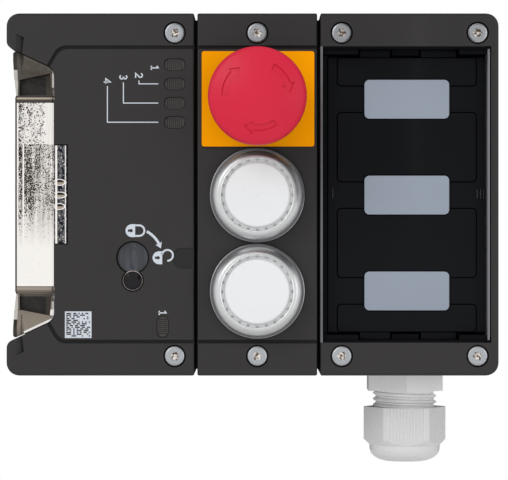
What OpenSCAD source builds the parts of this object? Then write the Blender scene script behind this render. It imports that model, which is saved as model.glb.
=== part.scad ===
// Guard locking switch in three joined modules: lock, control and bus.
// X runs to the right, Z up and Y into the wall. The mounting face is at Y = 0,
// and a height h in these modules is measured forwards from it, so it lies at Y = -h.
// The origin is the centre of the rear screw pattern.

/* [Housing] */
// Height of the housing
housing_h = 120; // [118:1:136]
// Depth from the mounting face to the front face
housing_d = 45; // [44.5:0.5:48]
// Depth of the covers, from the front face back to their seal
cover_depth = 13; // [12.5:0.1:13.5]
// Thickness of the seal between each base and its cover
cover_seal_t = 1; // [0.8:0.1:1.4]
// Thickness of the moulded side walls
wall = 2.5; // [2.2:0.1:2.8]
// Thickness of the front faces
face_t = 2.5; // [2.2:0.1:2.8]
// Thickness of the base floors
floor_t = 3; // [2.4:0.1:3.6]
// Radius of the outer corners, seen from the front
corner_r = 4.5; // [3.5:0.1:6]
// Radius of the corners at the joints between modules
joint_corner_r = 0.7; // [0.4:0.1:1.5]
// Rounding of the front edges
front_edge_r = 1.2; // [0.6:0.1:1.6]
// Distance of the band lines from the top and bottom edges
band_h = 10.7; // [10.5:0.1:12]
// Width of the band lines
band_line_w = 1.2; // [0.8:0.1:1.5]
// Depth of the band lines on the lock module
band_line_depth = 0.7; // [0.4:0.1:1]
// Depth of the band lines on the control module
control_line_depth = 1; // [0.6:0.1:1.4]

/* [Modules] */
// Width of the lock module
lock_w = 62.2; // [61:0.2:66]
// Width of the control module
control_w = 39.7; // [39.4:0.1:44]
// Width of the bus module
bus_w = 59.1; // [58:0.1:64]
// Width of the joint between two modules
joint_gap = 1; // [0.6:0.1:1.4]
// How far the joint seal stays behind the faces around it
joint_seal_inset = 2.2; // [0.8:0.1:3]
// Spacing of the mounting screws along X
mount_pitch_x = 128; // [124:1:130]
// Spacing of the mounting screws along Z
mount_pitch_z = 96; // [95:1:97]
// Diameter of the mounting holes
mount_hole_d = 5.5; // [4.5:0.1:5.8]
// Height of the bosses round the mounting holes
mount_boss_h = 8; // [6:0.5:8]

/* [Cover screws] */
// Diameter of the screw heads
screw_head_d = 6.75; // [6:0.05:7]
// Height of the screw heads
screw_head_h = 2.4; // [2:0.1:2.6]
// Diameter of the screw shanks
screw_d = 4; // [3.5:0.1:4.2]
// Distance of the screws from the top and bottom edges
screw_inset = 6.5; // [6.2:0.1:6.8]
// Distance of the lock module's screws from the joint
lock_screw_inset = 6.5; // [6:0.1:7]
// Distance of the bus module's left screws from the joint
bus_screw_left = 7.1; // [7:0.1:8]
// Distance of the bus module's right screws from the outer edge
bus_screw_right = 7; // [6.5:0.1:7.5]
// How far the heads lie below the front face
screw_sink = 0.3; // [0:0.1:0.6]

/* [Tongue guide] */
// Width of the notch in the lock module
notch_w = 16; // [15.6:0.1:17]
// Height of the lobes above and below the notch, at the outer edge
lobe_h = 10.9; // [10:0.1:12]
// Slant of the notch edges
notch_slant = 25; // [20:1:28]
// Radius of the notch corners
notch_r = 4; // [3:0.1:5]
// Radius of the lobe corners at the notch
lobe_r = 3; // [2:0.1:4]
// Clearance between the casting and the housing
guide_clear = 0.25; // [0.15:0.05:0.4]
// Height of the deck that carries the casting
deck_h = 12; // [11:0.5:13]
// Half the length of the front plate of the casting
plate_half = 32.4; // [31:0.2:33]
// Depth of the front plate below the housing face
plate_sink = 2; // [1.5:0.1:2.2]
// Distance of the casting's edge from the housing's outer edge
guide_inset = 2.7; // [2:0.1:3.2]
// How far the casting reaches inside the lock module
guide_reach = 7.5; // [7:0.1:8]
// Half the height of the tongue's mouth
mouth_half = 28; // [24:0.5:28.5]
// Depth of the mouth's rear side below the housing face
mouth_back = 20; // [19:0.5:21]
// Depth of the mouth's front side below the housing face
mouth_front = 6.5; // [6.5:0.5:8]
// Half the length of the flush boss of the casting
boss_half = 16.2; // [12:0.2:20]
// Width of the flush boss of the casting
boss_w = 4; // [3:0.1:5]
// Slope of the lead-in ramps
ramp_slope = 40; // [35:1:42]
// Depth of the pockets beside the front plate
pocket_depth = 10; // [8:0.5:11]

/* [Lock mechanism] */
// Distance of the release from the joint
release_inset = 20.4; // [20.2:0.1:21]
// Height of the release above the centre line, negative below it
release_z = -20.9; // [-21.5:0.1:-20.5]
// Diameter of the release rotor
rotor_d = 10; // [9.4:0.1:10.4]
// Radius on which the eccentric pin turns
crank_r = 3.2; // [3:0.05:3.3]
// Diameter of the eccentric pin
crank_pin_d = 2.4; // [2:0.1:2.6]
// Distance of the locking screw below the release
lock_screw_drop = 7.6; // [7.5:0.1:8.2]
// How far the lever plate starts behind the parting plane
lever_drop = 1; // [0.8:0.1:1.5]
// Thickness of the lever plate
lever_t = 3; // [2.6:0.1:3.2]
// Height of the lever's pivot above the centre line
lever_z = -4; // [-4.4:0.1:-3.6]
// Distance of the solenoid axis from the lever's pivot
solenoid_arm = 9; // [8.8:0.1:9.4]
// Diameter of the solenoid plunger
plunger_d = 6; // [5.4:0.1:6.2]
// Diameter of the solenoid coil
coil_d = 13.6; // [12.6:0.1:14]
// Length of the solenoid coil
coil_l = 26; // [22:0.5:28]
// Height of the coil's lower end above the centre line
coil_z = 8; // [7.6:0.1:9]

/* [Control devices] */
// Pitch of the three control devices
device_pitch = 31.8; // [31.8:0.1:33]
// Height of the middle device above the centre line, negative below it
device_z = -0.2; // [-0.6:0.1:0.2]
// Diameter of the device holes in the cover
device_hole_d = 22.3; // [22.2:0.1:22.6]
// Diameter of the mushroom head
head_d = 32; // [30:0.5:34]
// Height of the mushroom head's top above the housing face
head_top = 27; // [26:0.5:30]
// Travel of the emergency stop
stop_travel = 4.5; // [3.5:0.1:4.6]
// Width of the orange plate
stop_plate_w = 37.2; // [35:0.1:37.6]
// Height of the orange plate
stop_plate_h = 31.5; // [31:0.1:31.6]
// How far the orange plate is set to the right of the stop
stop_plate_shift = 0.25; // [0:0.05:0.3]
// Thickness of the orange plate
stop_plate_t = 1.2; // [0.8:0.1:1.6]
// Outer diameter of the button bezels
bezel_d = 31.3; // [29:0.1:31.4]
// Height of the button bezels above the housing face
bezel_h = 9; // [8.5:0.1:11]
// Diameter of the white lenses
lens_d = 21.4; // [20:0.1:22]
// Travel of the push-buttons
button_travel = 2; // [1.5:0.1:2.2]

/* [Bus module] */
// Depth of the label field below the front face
field_depth = 7.5; // [6.5:0.1:8]
// Thickness of the label panel
panel_t = 3; // [2.5:0.1:3]
// How far the labels are set to the left of the module's centre
label_shift = 0.55; // [0.3:0.05:0.8]
// Width of the bevel round the label field
field_bevel = 0.85; // [0.4:0.05:1]
// Width of the label plates
label_w = 28.2; // [24:0.1:32]
// Height of the label plates
label_h = 12.9; // [11:0.1:15]
// Thickness of the label plates
label_t = 1.1; // [0.9:0.1:1.5]
// Height of the raised fields above the label panel
island_t = 0.4; // [0.3:0.1:0.7]
// Width of the raised fields
island_w = 46.4; // [44:0.2:48]
// Height of the channels between the raised fields
channel_h = 8.8; // [7:0.1:10]

/* [Cable gland] */
// How far the gland is set to the left of the module's centre
gland_shift = 0.2; // [0:0.05:0.5]
// Diameter of the gland's thread in the wall
gland_thread_d = 20; // [19:0.1:20.4]
// Width of the gland's hexagon across its flats
gland_flats = 25.1; // [24.6:0.1:26]
// Height of the hexagon
gland_hex_h = 6.1; // [5:0.1:7]
// Height of the thread that shows above the cap nut
gland_neck_h = 5.6; // [5:0.1:7]
// Width of the cap nut across its flats
cap_flats = 25; // [24.6:0.1:26]
// Diameter to which the cap nut's corners are turned down
cap_d = 27.8; // [27.4:0.1:28.4]
// Length of the ribbed part of the cap nut
cap_rib_l = 11; // [10:0.1:13]
// Length of the cap nut's dome
cap_dome_l = 5.9; // [5.6:0.1:8]
// Diameter of the cable bore in the sealing insert
cable_d = 10; // [7:0.5:11]

/* [Hidden] */
$fn = 48;

// Colours of the finishes
housing_tint = "#403e3f";
seal_tint = "#141414";
casting_tint = "#b9b4ac";
steel_tint = "#b4b6b8";
board_tint = "#2f6b3f";
copper_tint = "#a5582c";
grey_tint = "#c8c8ca";
panel_tint = "#15171c";

// Places of the modules along X
total_w = lock_w + control_w + bus_w + 2 * joint_gap;
lock_x0 = -total_w / 2;
lock_x1 = lock_x0 + lock_w;
control_x0 = lock_x1 + joint_gap;
control_x1 = control_x0 + control_w;
control_x = (control_x0 + control_x1) / 2;
bus_x0 = control_x1 + joint_gap;
bus_x1 = bus_x0 + bus_w;
bus_x = (bus_x0 + bus_x1) / 2;

// Heights and edges shared by the pieces
top_z = housing_h / 2;
cover_h0 = housing_d - cover_depth;
parting_h = cover_h0 - cover_seal_t;
face_in = housing_d - face_t;
screw_z = top_z - screw_inset;
lock_screw_x = lock_x1 - lock_screw_inset;
bus_screw_xs = [bus_x0 + bus_screw_left, bus_x1 - bus_screw_right];
field_z = top_z - band_h;
seal_edge = 0.5;
seal_lip = 0.3;
eps = 0.01;

// Clearances: running and standing fits, and the fit of the screws in their threads
run_clear = 0.05;
fit_clear = 0.2;
thread_clear = 0.025;

// Screw pillars
pillar_d = 9.5;
pillar_bore_d = screw_d + 0.5;
thread_bore_d = screw_d + 2 * thread_clear;
counterbore_d = screw_head_d + 0.7;
screw_seat_h = housing_d - screw_sink - screw_head_h;
screw_tip_h = parting_h - 12;
pillar_bore_h = screw_tip_h - 2;

// Notch of the lock module
notch_x = lock_x0 + notch_w;
guide_x0 = lock_x0 + guide_inset;
guide_x1 = notch_x + guide_reach;
plate_h = housing_d - plate_sink;
guide_end_x = lock_x0 + 2;
mouth_h0 = housing_d - mouth_back;
mouth_h1 = housing_d - mouth_front;
mouth_end_x = guide_x1 - 2.5;
guide_inner_half = plate_half - 0.4;
guide_screw_x = guide_x0 + 6.8;
guide_screw_zs = [-38, -14, 14, 38];
guide_bore_h = mouth_h0 - 4.5;
guide_head_h = 3.4;
boss_gap = 0.4;
deck_t = 3;
head_pocket_w = 8.4;
head_pocket_h = 11;
core_pocket_zs = [-26, 0, 26];
core_pocket_h = 9;

// Windows of the indicators and of the slot indicator
indicator_x = lock_screw_x;
indicator_z0 = top_z - 36.1;
indicator_pitch = 6.35;
indicator_zs = [for (k = [0:3]) indicator_z0 + k * indicator_pitch];
indicator_w = 7;
indicator_h = 4.1;
slot_window_x = lock_x1 - 10.45;
slot_window_z = -top_z + 16.3;
slot_window_w = 4;
slot_window_h = 7.2;
window_r = 1.8;
window_sink = 0.8;
window_gap = 0.2;
rib_pitch = 0.68;
rib_h = 0.4;

// Lock board and the posts that carry it
board_t = 1.6;
board_h = face_in - 7.1;
lock_board_x0 = lock_x1 - 13;
lock_board_x1 = lock_x1 - 3.2;
post_x = lock_x1 - 8.6;
post_zs = [indicator_z0 - 9.9, slot_window_z + 10.7];
post_d = 4.4;
post_pin_d = 2;

// Lever and release
release_x = lock_x1 - release_inset;
lever_h = parting_h - lever_drop;
rotor_top = housing_d - 1.7;
rotor_body_d = rotor_d - 0.8;
rotor_end = lever_h + lever_t + 2;
lock_screw_z = release_z - lock_screw_drop;
lock_screw_seat = housing_d - 1.5;
lock_screw_d = 3;
clip_h = rotor_end + 2.1;
clip_t = 0.8;
ring_h = face_in - 2;
ring_w = 1.6;
lever_gap = 0.3;
tail_face_x = release_x + crank_r - crank_pin_d / 2 - lever_gap;
tail_w = 4.6;
lever_x = tail_face_x - 2.54;
solenoid_x = lever_x - solenoid_arm;
solenoid_h = lever_h + lever_t / 2;
nose_x = mouth_end_x - 3.8;
frame_t = 1.2;
frame_h0 = solenoid_h - coil_d / 2 - frame_t - 0.1;
plunger_stop_z = coil_z + 13.5;
plunger_collar_z = lever_z + 5;
reader_x0 = guide_x1 + fit_clear;
reader_w = 7.8;
reader_z0 = -29;
reader_l = 12;

// Joints between modules
connector_half = 12;
connector_h0 = 12;
connector_h1 = 24;
joint_screw_z = top_z - 14;
joint_screw_h = 18;
joint_head_h = 2.6;

// Control devices
neck_r = 11;
nut_t = 4;
neck_end_h = face_in - 12.5;
stop_neck_end_h = face_in - 10.5;
stop_z = device_z + device_pitch;
button_zs = [device_z, device_z - device_pitch];
gasket_lip = 0.15;
control_board_h = 9;
stem_r = 7.45;
spigot_r = 5;
bezel_seat_t = 0.8;
bezel_flange_t = 1.2;
bezel_groove_r = 14.85;
cup_r = 12.1;
cup_floor_h = housing_d + 2.6;
carrier_r = cup_r - fit_clear;
carrier_h0 = cup_floor_h + button_travel + 0.6;
carrier_top = housing_d + bezel_h - 1;
lens_seat_h = carrier_top - 1.8;
shaft_r = 8.95;
spring_top_h = neck_end_h + 15;
stop_plate_h1 = housing_d + stop_plate_t;
head_top_h = housing_d + head_top;
head_r = head_d / 2;
head_side_h = head_top_h - 5.2;
neck_bottom_h = head_side_h - 10.6;
collar_top_h = neck_bottom_h + 1.3;

// Profile of the mushroom head: a shallow dome whose edge is rounded down to the side
dome_r = 36;
dome_a = 24;
rim_r = (head_r - dome_r * sin(dome_a)) / (1 - sin(dome_a));
rim_x = dome_r * sin(dome_a) - rim_r * sin(dome_a);
rim_h = head_top_h - dome_r * (1 - cos(dome_a)) - rim_r * cos(dome_a);

// Label field
opening_x0 = bus_x0 + 0.8;
opening_x1 = bus_x1 - 3.35;
step_x = bus_x0 + 2.35;
step_h = housing_d - 4;
panel_h1 = housing_d - field_depth;
panel_h0 = panel_h1 - panel_t;
panel_x0 = step_x + 0.4;
panel_x1 = opening_x1 - 0.45;
opening_z = field_z - 0.2 - field_bevel;
ledge_w0 = 11.8;
ledge_w1 = 9.55;
ledge_z = 1.65;
ledge_room = 0.8;
hook_x = bus_x - 1;
hook_half = 4.4;
hook_z = 1.8;
lip_w = 2;
label_x = bus_x - label_shift;
label_z = device_z + 0.1;
label_pitch = device_pitch + 0.15;
label_zs = [label_z + label_pitch, label_z, label_z - label_pitch];
label_sink = 0.3;

// Bus board and its terminal block, placed from the lower end of the board
bus_board_half = 24;
bus_board_z = screw_z - 10;
terminal_z = -bus_board_z + 11.5;
terminal_l = 12;
terminal_h = 14;

// Cable gland, measured down from the housing's bottom
hex_z = -top_z - gland_hex_h;
neck_z = hex_z - gland_neck_h;
rib_z = neck_z - cap_rib_l;
chamfer_z = rib_z - 1.95;
dome_z = chamfer_z - cap_dome_l;
gland_inner_z = -top_z + wall + 6;
gland_x = bus_x - gland_shift;
gland_h = (floor_t + parting_h) / 2;
gland_root_r = gland_thread_d / 2 - 0.2;
locknut_h = 4;
locknut_flats = gland_thread_d + 4.4;

// Points of a polygon whose corners [x, z, r] are rounded with radius r
function unit(v) = v / norm(v);
function turn(a) = ((a + 540) % 360) - 180;
function corner_arc(a, p, b, r, n) =
    let (ua = unit(a - p), ub = unit(b - p), half = acos(ua * ub) / 2)
    let (c = p + unit(ua + ub) * r / sin(half))
    let (s = p + ua * r / tan(half) - c, e = p + ub * r / tan(half) - c)
    let (a0 = atan2(s[1], s[0]), sweep = turn(atan2(e[1], e[0]) - a0))
    [for (k = [0:n]) c + r * [cos(a0 + sweep * k / n), sin(a0 + sweep * k / n)]];
function flat2(p) = [p[0], p[1]];
function soft(pts, n = 6) = [
    for (i = [0:len(pts) - 1])
        let (m = len(pts), p = pts[i], a = pts[(i + m - 1) % m], b = pts[(i + 1) % m])
        each p[2] > 0 ? corner_arc(flat2(a), flat2(p), flat2(b), p[2], n) : [flat2(p)]
];

// Rectangle with its own radius at the left and right corners, drawn inset by d
function frame_pts(x0, x1, z, d, r0, r1) = [
    [x0 + d, -z + d, max(r0 - d, 0.3)], [x1 - d, -z + d, max(r1 - d, 0.3)],
    [x1 - d, z - d, max(r1 - d, 0.3)], [x0 + d, z - d, max(r0 - d, 0.3)]
];

// Outline of the lock module with its notch, drawn inset by d
function notch_edge_z(x, d) = top_z - lobe_h - (x - lock_x0) * tan(notch_slant) + d / cos(notch_slant);
function lock_pts(d) = [
    [lock_x0 + d, -top_z + d, max(corner_r - d, 0.5)],
    [lock_x1 - d, -top_z + d, max(joint_corner_r - d, 0.3)],
    [lock_x1 - d, top_z - d, max(joint_corner_r - d, 0.3)],
    [lock_x0 + d, top_z - d, max(corner_r - d, 0.5)],
    [lock_x0 + d, notch_edge_z(lock_x0 + d, d), max(lobe_r - d, 0.5)],
    [notch_x + d, notch_edge_z(notch_x + d, d), notch_r + d],
    [notch_x + d, -notch_edge_z(notch_x + d, d), notch_r + d],
    [lock_x0 + d, -notch_edge_z(lock_x0 + d, d), max(lobe_r - d, 0.5)]
];

// Solids drawn in the front view, and solids along each axis
module slab(h0, h1) {
    translate([0, -h0, 0]) rotate([90, 0, 0]) linear_extrude(h1 - h0) children();
}
module block(x0, x1, z0, z1, h0, h1) {
    translate([x0, -h1, z0]) cube([x1 - x0, h1 - h0, z1 - z0]);
}
module rod(x, z, h0, h1, d) {
    translate([x, -h0, z]) rotate([90, 0, 0]) cylinder(h = h1 - h0, d = d);
}
module rod_x(x0, x1, z, h, d) {
    translate([x0, -h, z]) rotate([0, 90, 0]) cylinder(h = x1 - x0, d = d);
}
module turned(x, z) {
    translate([x, 0, z]) rotate([90, 0, 0]) rotate_extrude($fn = 96) children();
}
module mirrored_z() {
    children();
    mirror([0, 0, 1]) children();
}
module soft_rect(x, z, w, h, r) {
    polygon(soft([
        [x - w / 2, z - h / 2, r], [x + w / 2, z - h / 2, r],
        [x + w / 2, z + h / 2, r], [x - w / 2, z + h / 2, r]
    ]));
}

// Block with rounded front edges that limits each cover
module cover_form(x0, x1, r0, r1) {
    intersection() {
        slab(cover_h0, housing_d) polygon(soft(frame_pts(x0, x1, top_z, 0, r0, r1)));
        translate([x0 - 1, 0, 0]) rotate([90, 0, 90]) linear_extrude(x1 - x0 + 2) polygon(soft([
            [-cover_h0, -top_z, 0], [-cover_h0, top_z, 0],
            [-housing_d, top_z, front_edge_r], [-housing_d, -top_z, front_edge_r]
        ]));
        translate([0, 0, -top_z - 1]) linear_extrude(housing_h + 2) polygon(soft([
            [x0, -cover_h0, 0], [x0, -housing_d, min(r0, front_edge_r)],
            [x1, -housing_d, min(r1, front_edge_r)], [x1, -cover_h0, 0]
        ]));
    }
}

// Screw pillars of the covers and bases, and the holes through them
module cover_pillars(xs, h0) {
    for (x = xs, s = [-1, 1]) rod(x, s * screw_z, h0, housing_d - 1, pillar_d);
}
module cover_screw_holes(xs) {
    for (x = xs, s = [-1, 1]) {
        rod(x, s * screw_z, cover_h0 - 1, housing_d, pillar_bore_d);
        rod(x, s * screw_z, screw_seat_h, housing_d + 1, counterbore_d);
    }
}
module base_pillars(xs) {
    for (x = xs, s = [-1, 1]) rod(x, s * screw_z, floor_t - eps, parting_h, pillar_d);
}
module base_screw_bores(xs) {
    for (x = xs, s = [-1, 1]) rod(x, s * screw_z, pillar_bore_h, parting_h + 1, thread_bore_d);
}

// Mounting boss and its hole
module mount_bosses(x) {
    for (s = [-1, 1]) rod(x, s * mount_pitch_z / 2, 0, mount_boss_h, mount_hole_d + 4.5);
}
module mount_holes(x) {
    for (s = [-1, 1]) rod(x, s * mount_pitch_z / 2, -1, mount_boss_h + 1, mount_hole_d);
}

// Window that lets the casting reach inside the lock module
module guide_window(h0, h1) {
    half = guide_inner_half + guide_clear;
    block(notch_x - 1, notch_x + wall + 1, -half, half, h0, h1);
}

// Windows and screw holes through the side walls at a joint, between x0 and x1
module joint_openings(x0, x1, screw_hole_d) {
    block(x0, x1, -connector_half, connector_half, connector_h0, connector_h1);
    for (s = [-1, 1]) rod_x(x0, x1, s * joint_screw_z, joint_screw_h, screw_hole_d);
}

module lock_base() {
    color(housing_tint) difference() {
        union() {
            difference() {
                union() {
                    slab(0, parting_h) polygon(soft(lock_pts(0)));
                    slab(0, deck_h) lock_foot();
                }
                slab(floor_t, parting_h + 1) polygon(soft(lock_pts(wall)));
            }
            base_pillars([lock_screw_x]);
            mount_bosses(-mount_pitch_x / 2);
            // pillar that carries the lever's pin
            rod(lever_x, lever_z, floor_t - eps, lever_h - lever_gap, 9);
            // rests under the solenoid frame
            for (z = [coil_z + 3, coil_z + coil_l - 3])
                block(solenoid_x - coil_d / 2, solenoid_x + coil_d / 2, z - wall / 2, z + wall / 2,
                    floor_t - eps, frame_h0);
            // threaded blocks for the joint screws
            for (s = [-1, 1]) rod_x(lock_x1 - wall - 6, lock_x1 - 1, s * joint_screw_z, joint_screw_h, 8);
        }
        base_screw_bores([lock_screw_x]);
        mount_holes(-mount_pitch_x / 2);
        joint_openings(lock_x1 - wall - 5, lock_x1 + 1, thread_bore_d);
        rod(lever_x, lever_z, lever_h - 11, lever_h, thread_bore_d);
        guide_window(deck_h, parting_h + 1);
        // cored pockets behind the casting, with the heads of its screws in them
        for (z = guide_screw_zs) {
            block(guide_screw_x - head_pocket_w / 2, guide_screw_x + head_pocket_w / 2,
                z - head_pocket_h / 2, z + head_pocket_h / 2, -1, deck_h - deck_t);
            rod(guide_screw_x, z, deck_h - deck_t - 1, deck_h + 1, pillar_bore_d);
        }
        for (z = core_pocket_zs)
            block(guide_x0 + 3, notch_x - 1, z - core_pocket_h / 2, z + core_pocket_h / 2,
                -1, deck_h - deck_t);
    }
}
module lock_foot() {
    polygon(soft([
        [guide_x0 + 0.4, -top_z + lobe_h + 1, 2], [notch_x + wall, -top_z + lobe_h + 1, 0],
        [notch_x + wall, top_z - lobe_h - 1, 0], [guide_x0 + 0.4, top_z - lobe_h - 1, 2]
    ]));
}

// Line between the bands and the middle field of the lock cover
function field_pts(d) = [
    [lock_x1 + 2, -field_z + d, 0], [lock_x1 + 2, field_z - d, 0],
    [notch_x + 1.2 + d * tan(30), field_z - d, corner_r],
    [notch_x - 3.6 + d / cos(30), field_z - 8.3, 0],
    [notch_x - 3.6 + d / cos(30), -field_z + 8.3, 0],
    [notch_x + 1.2 + d * tan(30), -field_z + d, corner_r]
];
module band_line() {
    slab(housing_d - band_line_depth, housing_d + 1) difference() {
        polygon(soft(field_pts(0)));
        polygon(soft(field_pts(band_line_w)));
    }
}

// Small wedge recesses in the lobes, with a floor that falls to the right
module lobe_wedge() {
    x0 = lock_x0 + 2.4;
    x1 = lock_x0 + 5.1;
    intersection() {
        slab(housing_d - 2, housing_d + 1) polygon([
            [x0 + 0.8, top_z - 6.8], [x1 + 0.7, top_z - 8],
            [x1, notch_edge_z(x1, -1)], [x0, notch_edge_z(x0, -1)]
        ]);
        translate([lock_x0 + 3.1, -housing_d, 0]) rotate([0, 0, 28])
            translate([0, -4, 0]) cube([6, 4, top_z]);
    }
}

module lock_cover() {
    color(housing_tint) difference() {
        union() {
            difference() {
                intersection() {
                    slab(cover_h0, housing_d) polygon(soft(lock_pts(0)));
                    cover_form(lock_x0, lock_x1, corner_r, joint_corner_r);
                }
                slab(cover_h0 - 1, face_in) polygon(soft(lock_pts(wall)));
            }
            cover_pillars([lock_screw_x], cover_h0);
            // sleeve that carries the release rotor
            rod(release_x, release_z, rotor_end + 3, face_in + eps, rotor_body_d + 5);
            // thread block of the locking screw
            rod(release_x, lock_screw_z - 1.5, face_in - 4, face_in + eps, 6);
            // posts that carry the circuit board
            for (z = post_zs) {
                rod(post_x, z, board_h + board_t, face_in + eps, post_d);
                rod(post_x, z, board_h - 0.8, board_h + board_t + eps, post_pin_d - 2 * run_clear);
            }
        }
        cover_screw_holes([lock_screw_x]);
        band_line();
        mirrored_z() lobe_wedge();
        // window for the casting in the notch wall and for its flush boss in the face
        guide_window(cover_h0 - 1, face_in);
        block(notch_x - 1, notch_x + boss_w + boss_gap, -boss_half - boss_gap, boss_half + boss_gap,
            face_in - 1, housing_d + 1);
        slab(face_in - 1, housing_d + 1) {
            for (z = indicator_zs) soft_rect(indicator_x, z, indicator_w, indicator_h, window_r);
            soft_rect(slot_window_x, slot_window_z, slot_window_w, slot_window_h, window_r);
        }
        // release: bore, shallow pocket and the pocket of its locking screw
        rod(release_x, release_z, rotor_end, housing_d, rotor_body_d + 2 * run_clear);
        rod(release_x, release_z, rotor_top - 0.5, housing_d + 1, rotor_d + 0.8);
        rod(release_x, lock_screw_z, lock_screw_seat, housing_d + 1, 7.2);
        rod(release_x, lock_screw_z, face_in - 3, housing_d, lock_screw_d + 2 * thread_clear);
        // shallow finger recess towards the joint
        slab(housing_d - 0.3, housing_d + 1) polygon(soft([
            [lock_x1 + 2, release_z - 3.6, 0], [lock_x1 + 2, release_z + 3.2, 0],
            [lock_x1 - 7.2, release_z + 3.2, 3], [lock_x1 - 7.2, release_z - 3.6, 3]
        ]));
    }
}

// Flat seal in the parting plane: a ring as wide as the wall, cut where something passes
module cover_seal_ring(outer, inner) {
    slab(parting_h, cover_h0) difference() {
        polygon(soft(outer));
        polygon(soft(inner));
    }
}
module lock_cover_seal() {
    color(seal_tint) difference() {
        cover_seal_ring(lock_pts(seal_edge), lock_pts(wall + seal_lip));
        guide_window(parting_h - 1, cover_h0 + 1);
    }
}

// Metal casting that guides the tongue: a slotted block with a front plate, pockets and lead-in ramps
module guide_outline() {
    edge = -guide_clear - 0.05;
    x1 = notch_x - guide_clear;
    polygon(soft([
        [x1, -notch_edge_z(x1, edge), notch_r - 0.2], [x1, notch_edge_z(x1, edge), notch_r - 0.2],
        [guide_end_x, notch_edge_z(guide_end_x, edge), 0.8], [guide_end_x, plate_half + 6.5, 0],
        [guide_x0, plate_half + 0.5, 0], [guide_x0, -plate_half - 0.5, 0],
        [guide_end_x, -plate_half - 6.5, 0], [guide_end_x, -notch_edge_z(guide_end_x, edge), 0.8]
    ]));
}
module guide_pocket_edge() {
    polygon([
        [lock_x0 - 2, plate_half + 5.7], [guide_x0 + 1.2, plate_half + 5.9], [notch_x + 1, plate_half + 8],
        [notch_x + 1, top_z], [lock_x0 - 2, top_z]
    ]);
}
module lead_in_ramp() {
    rim = 1;
    intersection() {
        slab(deck_h, housing_d + 1) guide_pocket_edge();
        translate([lock_x0, -(housing_d - 0.9), notch_edge_z(lock_x0, 0)])
            rotate([0, notch_slant, 0]) translate([-6, 0, -rim])
            rotate([ramp_slope, 0, 0]) translate([0, -20, -20]) cube([40, 20, 20]);
    }
    // outer bevel of the ramp, towards the door side
    intersection() {
        slab(deck_h, housing_d + 1) guide_pocket_edge();
        translate([guide_x0 + 3.1, -(housing_d - 0.9), 0]) rotate([0, 0, 14])
            translate([-12, -14, 0]) cube([12, 20 - 3.2, top_z]);
    }
}
module guide_end_cuts() {
    lead_in_ramp();
    // pocket beside the front plate
    slab(plate_h - pocket_depth, housing_d + 1) polygon([
        [guide_x0 + 1.1, plate_half + 0.5], [notch_x - 1, plate_half + 0.5],
        [notch_x - 1.6, plate_half + 7.8], [guide_x0 + 1.1, plate_half + 5.9]
    ]);
    // open edge of the pocket and the ledge beside the plate
    block(lock_x0, guide_x0 + 1.2, plate_half + 0.5, plate_half + 5.9, plate_h - 5.5, housing_d + 1);
    block(lock_x0, notch_x - 0.2, plate_half - 0.1, plate_half + 1.2, plate_h - 3.4, housing_d + 1);
    // bevel at the end of the plate
    translate([lock_x0, -plate_h, plate_half - 1.6]) rotate([45, 0, 0])
        translate([0, -6, 0]) cube([notch_w - 0.2, 6, 4]);
    // space left in front of the ramps
    block(lock_x0, notch_x, plate_half + 0.5, top_z, housing_d - 0.9, housing_d + 1);
}
module tongue_guide() {
    color(casting_tint) difference() {
        union() {
            slab(deck_h, housing_d - 0.5) guide_outline();
            block(notch_x - 2, guide_x1, -guide_inner_half, guide_inner_half, deck_h, face_in - fit_clear);
        }
        // front plate level, with the flush boss left standing
        block(lock_x0, notch_x - eps, -plate_half - 0.5, plate_half + 0.5, plate_h, housing_d + 1);
        block(notch_x - 1, guide_x1 + 1, -plate_half - 3, plate_half + 3, face_in - fit_clear, housing_d + 1);
        mirrored_z() guide_end_cuts();
        // shallow field on the plate and bevel along its outer edge
        block(guide_x0 + 2.1, notch_x, -boss_half - 0.9, boss_half, plate_h - 0.25, plate_h + 1);
        translate([guide_x0, -plate_h + 1, 0]) rotate([0, 0, 45])
            translate([-6, -4, -plate_half]) cube([6, 8, 2 * plate_half]);
        // mouth for the tongue, flared where the tongue enters
        block(lock_x0 - 1, mouth_end_x, -mouth_half, mouth_half, mouth_h0, mouth_h1);
        hull() {
            block(guide_x0 - 1, guide_x0 - 0.9, -mouth_half - 3, mouth_half + 3, mouth_h0 - 3, mouth_h1 + 2);
            block(guide_x0 + 2, guide_x0 + 2.1, -mouth_half, mouth_half, mouth_h0, mouth_h1);
        }
        // opening for the lever's nose
        block(mouth_end_x - 1, guide_x1 + 1, lever_z - 7, lever_z + 12,
            lever_h - 0.5, lever_h + lever_t + 0.5);
        guide_cores();
    }
    color(casting_tint)
        block(notch_x - guide_clear, notch_x + boss_w, -boss_half, boss_half,
            face_in - fit_clear - eps, housing_d);
}
// Hollows in the back of the casting round its screw bosses, and the threaded bores
module guide_cores() {
    skin = 3;
    difference() {
        union() {
            block(guide_x0 + 2.5, guide_x1 - 2.5, -plate_half + 4, plate_half - 4,
                deck_h - 1, mouth_h0 - skin);
            for (s = [-1, 1])
                block(guide_x0 + 2.5, notch_x - 3, s * (plate_half + 5) - 4.4, s * (plate_half + 5) + 4.4,
                    deck_h - 1, mouth_h0 - skin);
        }
        for (z = guide_screw_zs) rod(guide_screw_x, z, deck_h - 2, mouth_h0, 9);
        block(guide_x0, guide_x1, -1.25, 1.25, deck_h - 2, mouth_h0);
    }
    for (z = guide_screw_zs) rod(guide_screw_x, z, deck_h - 1, guide_bore_h, thread_bore_d);
}

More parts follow.
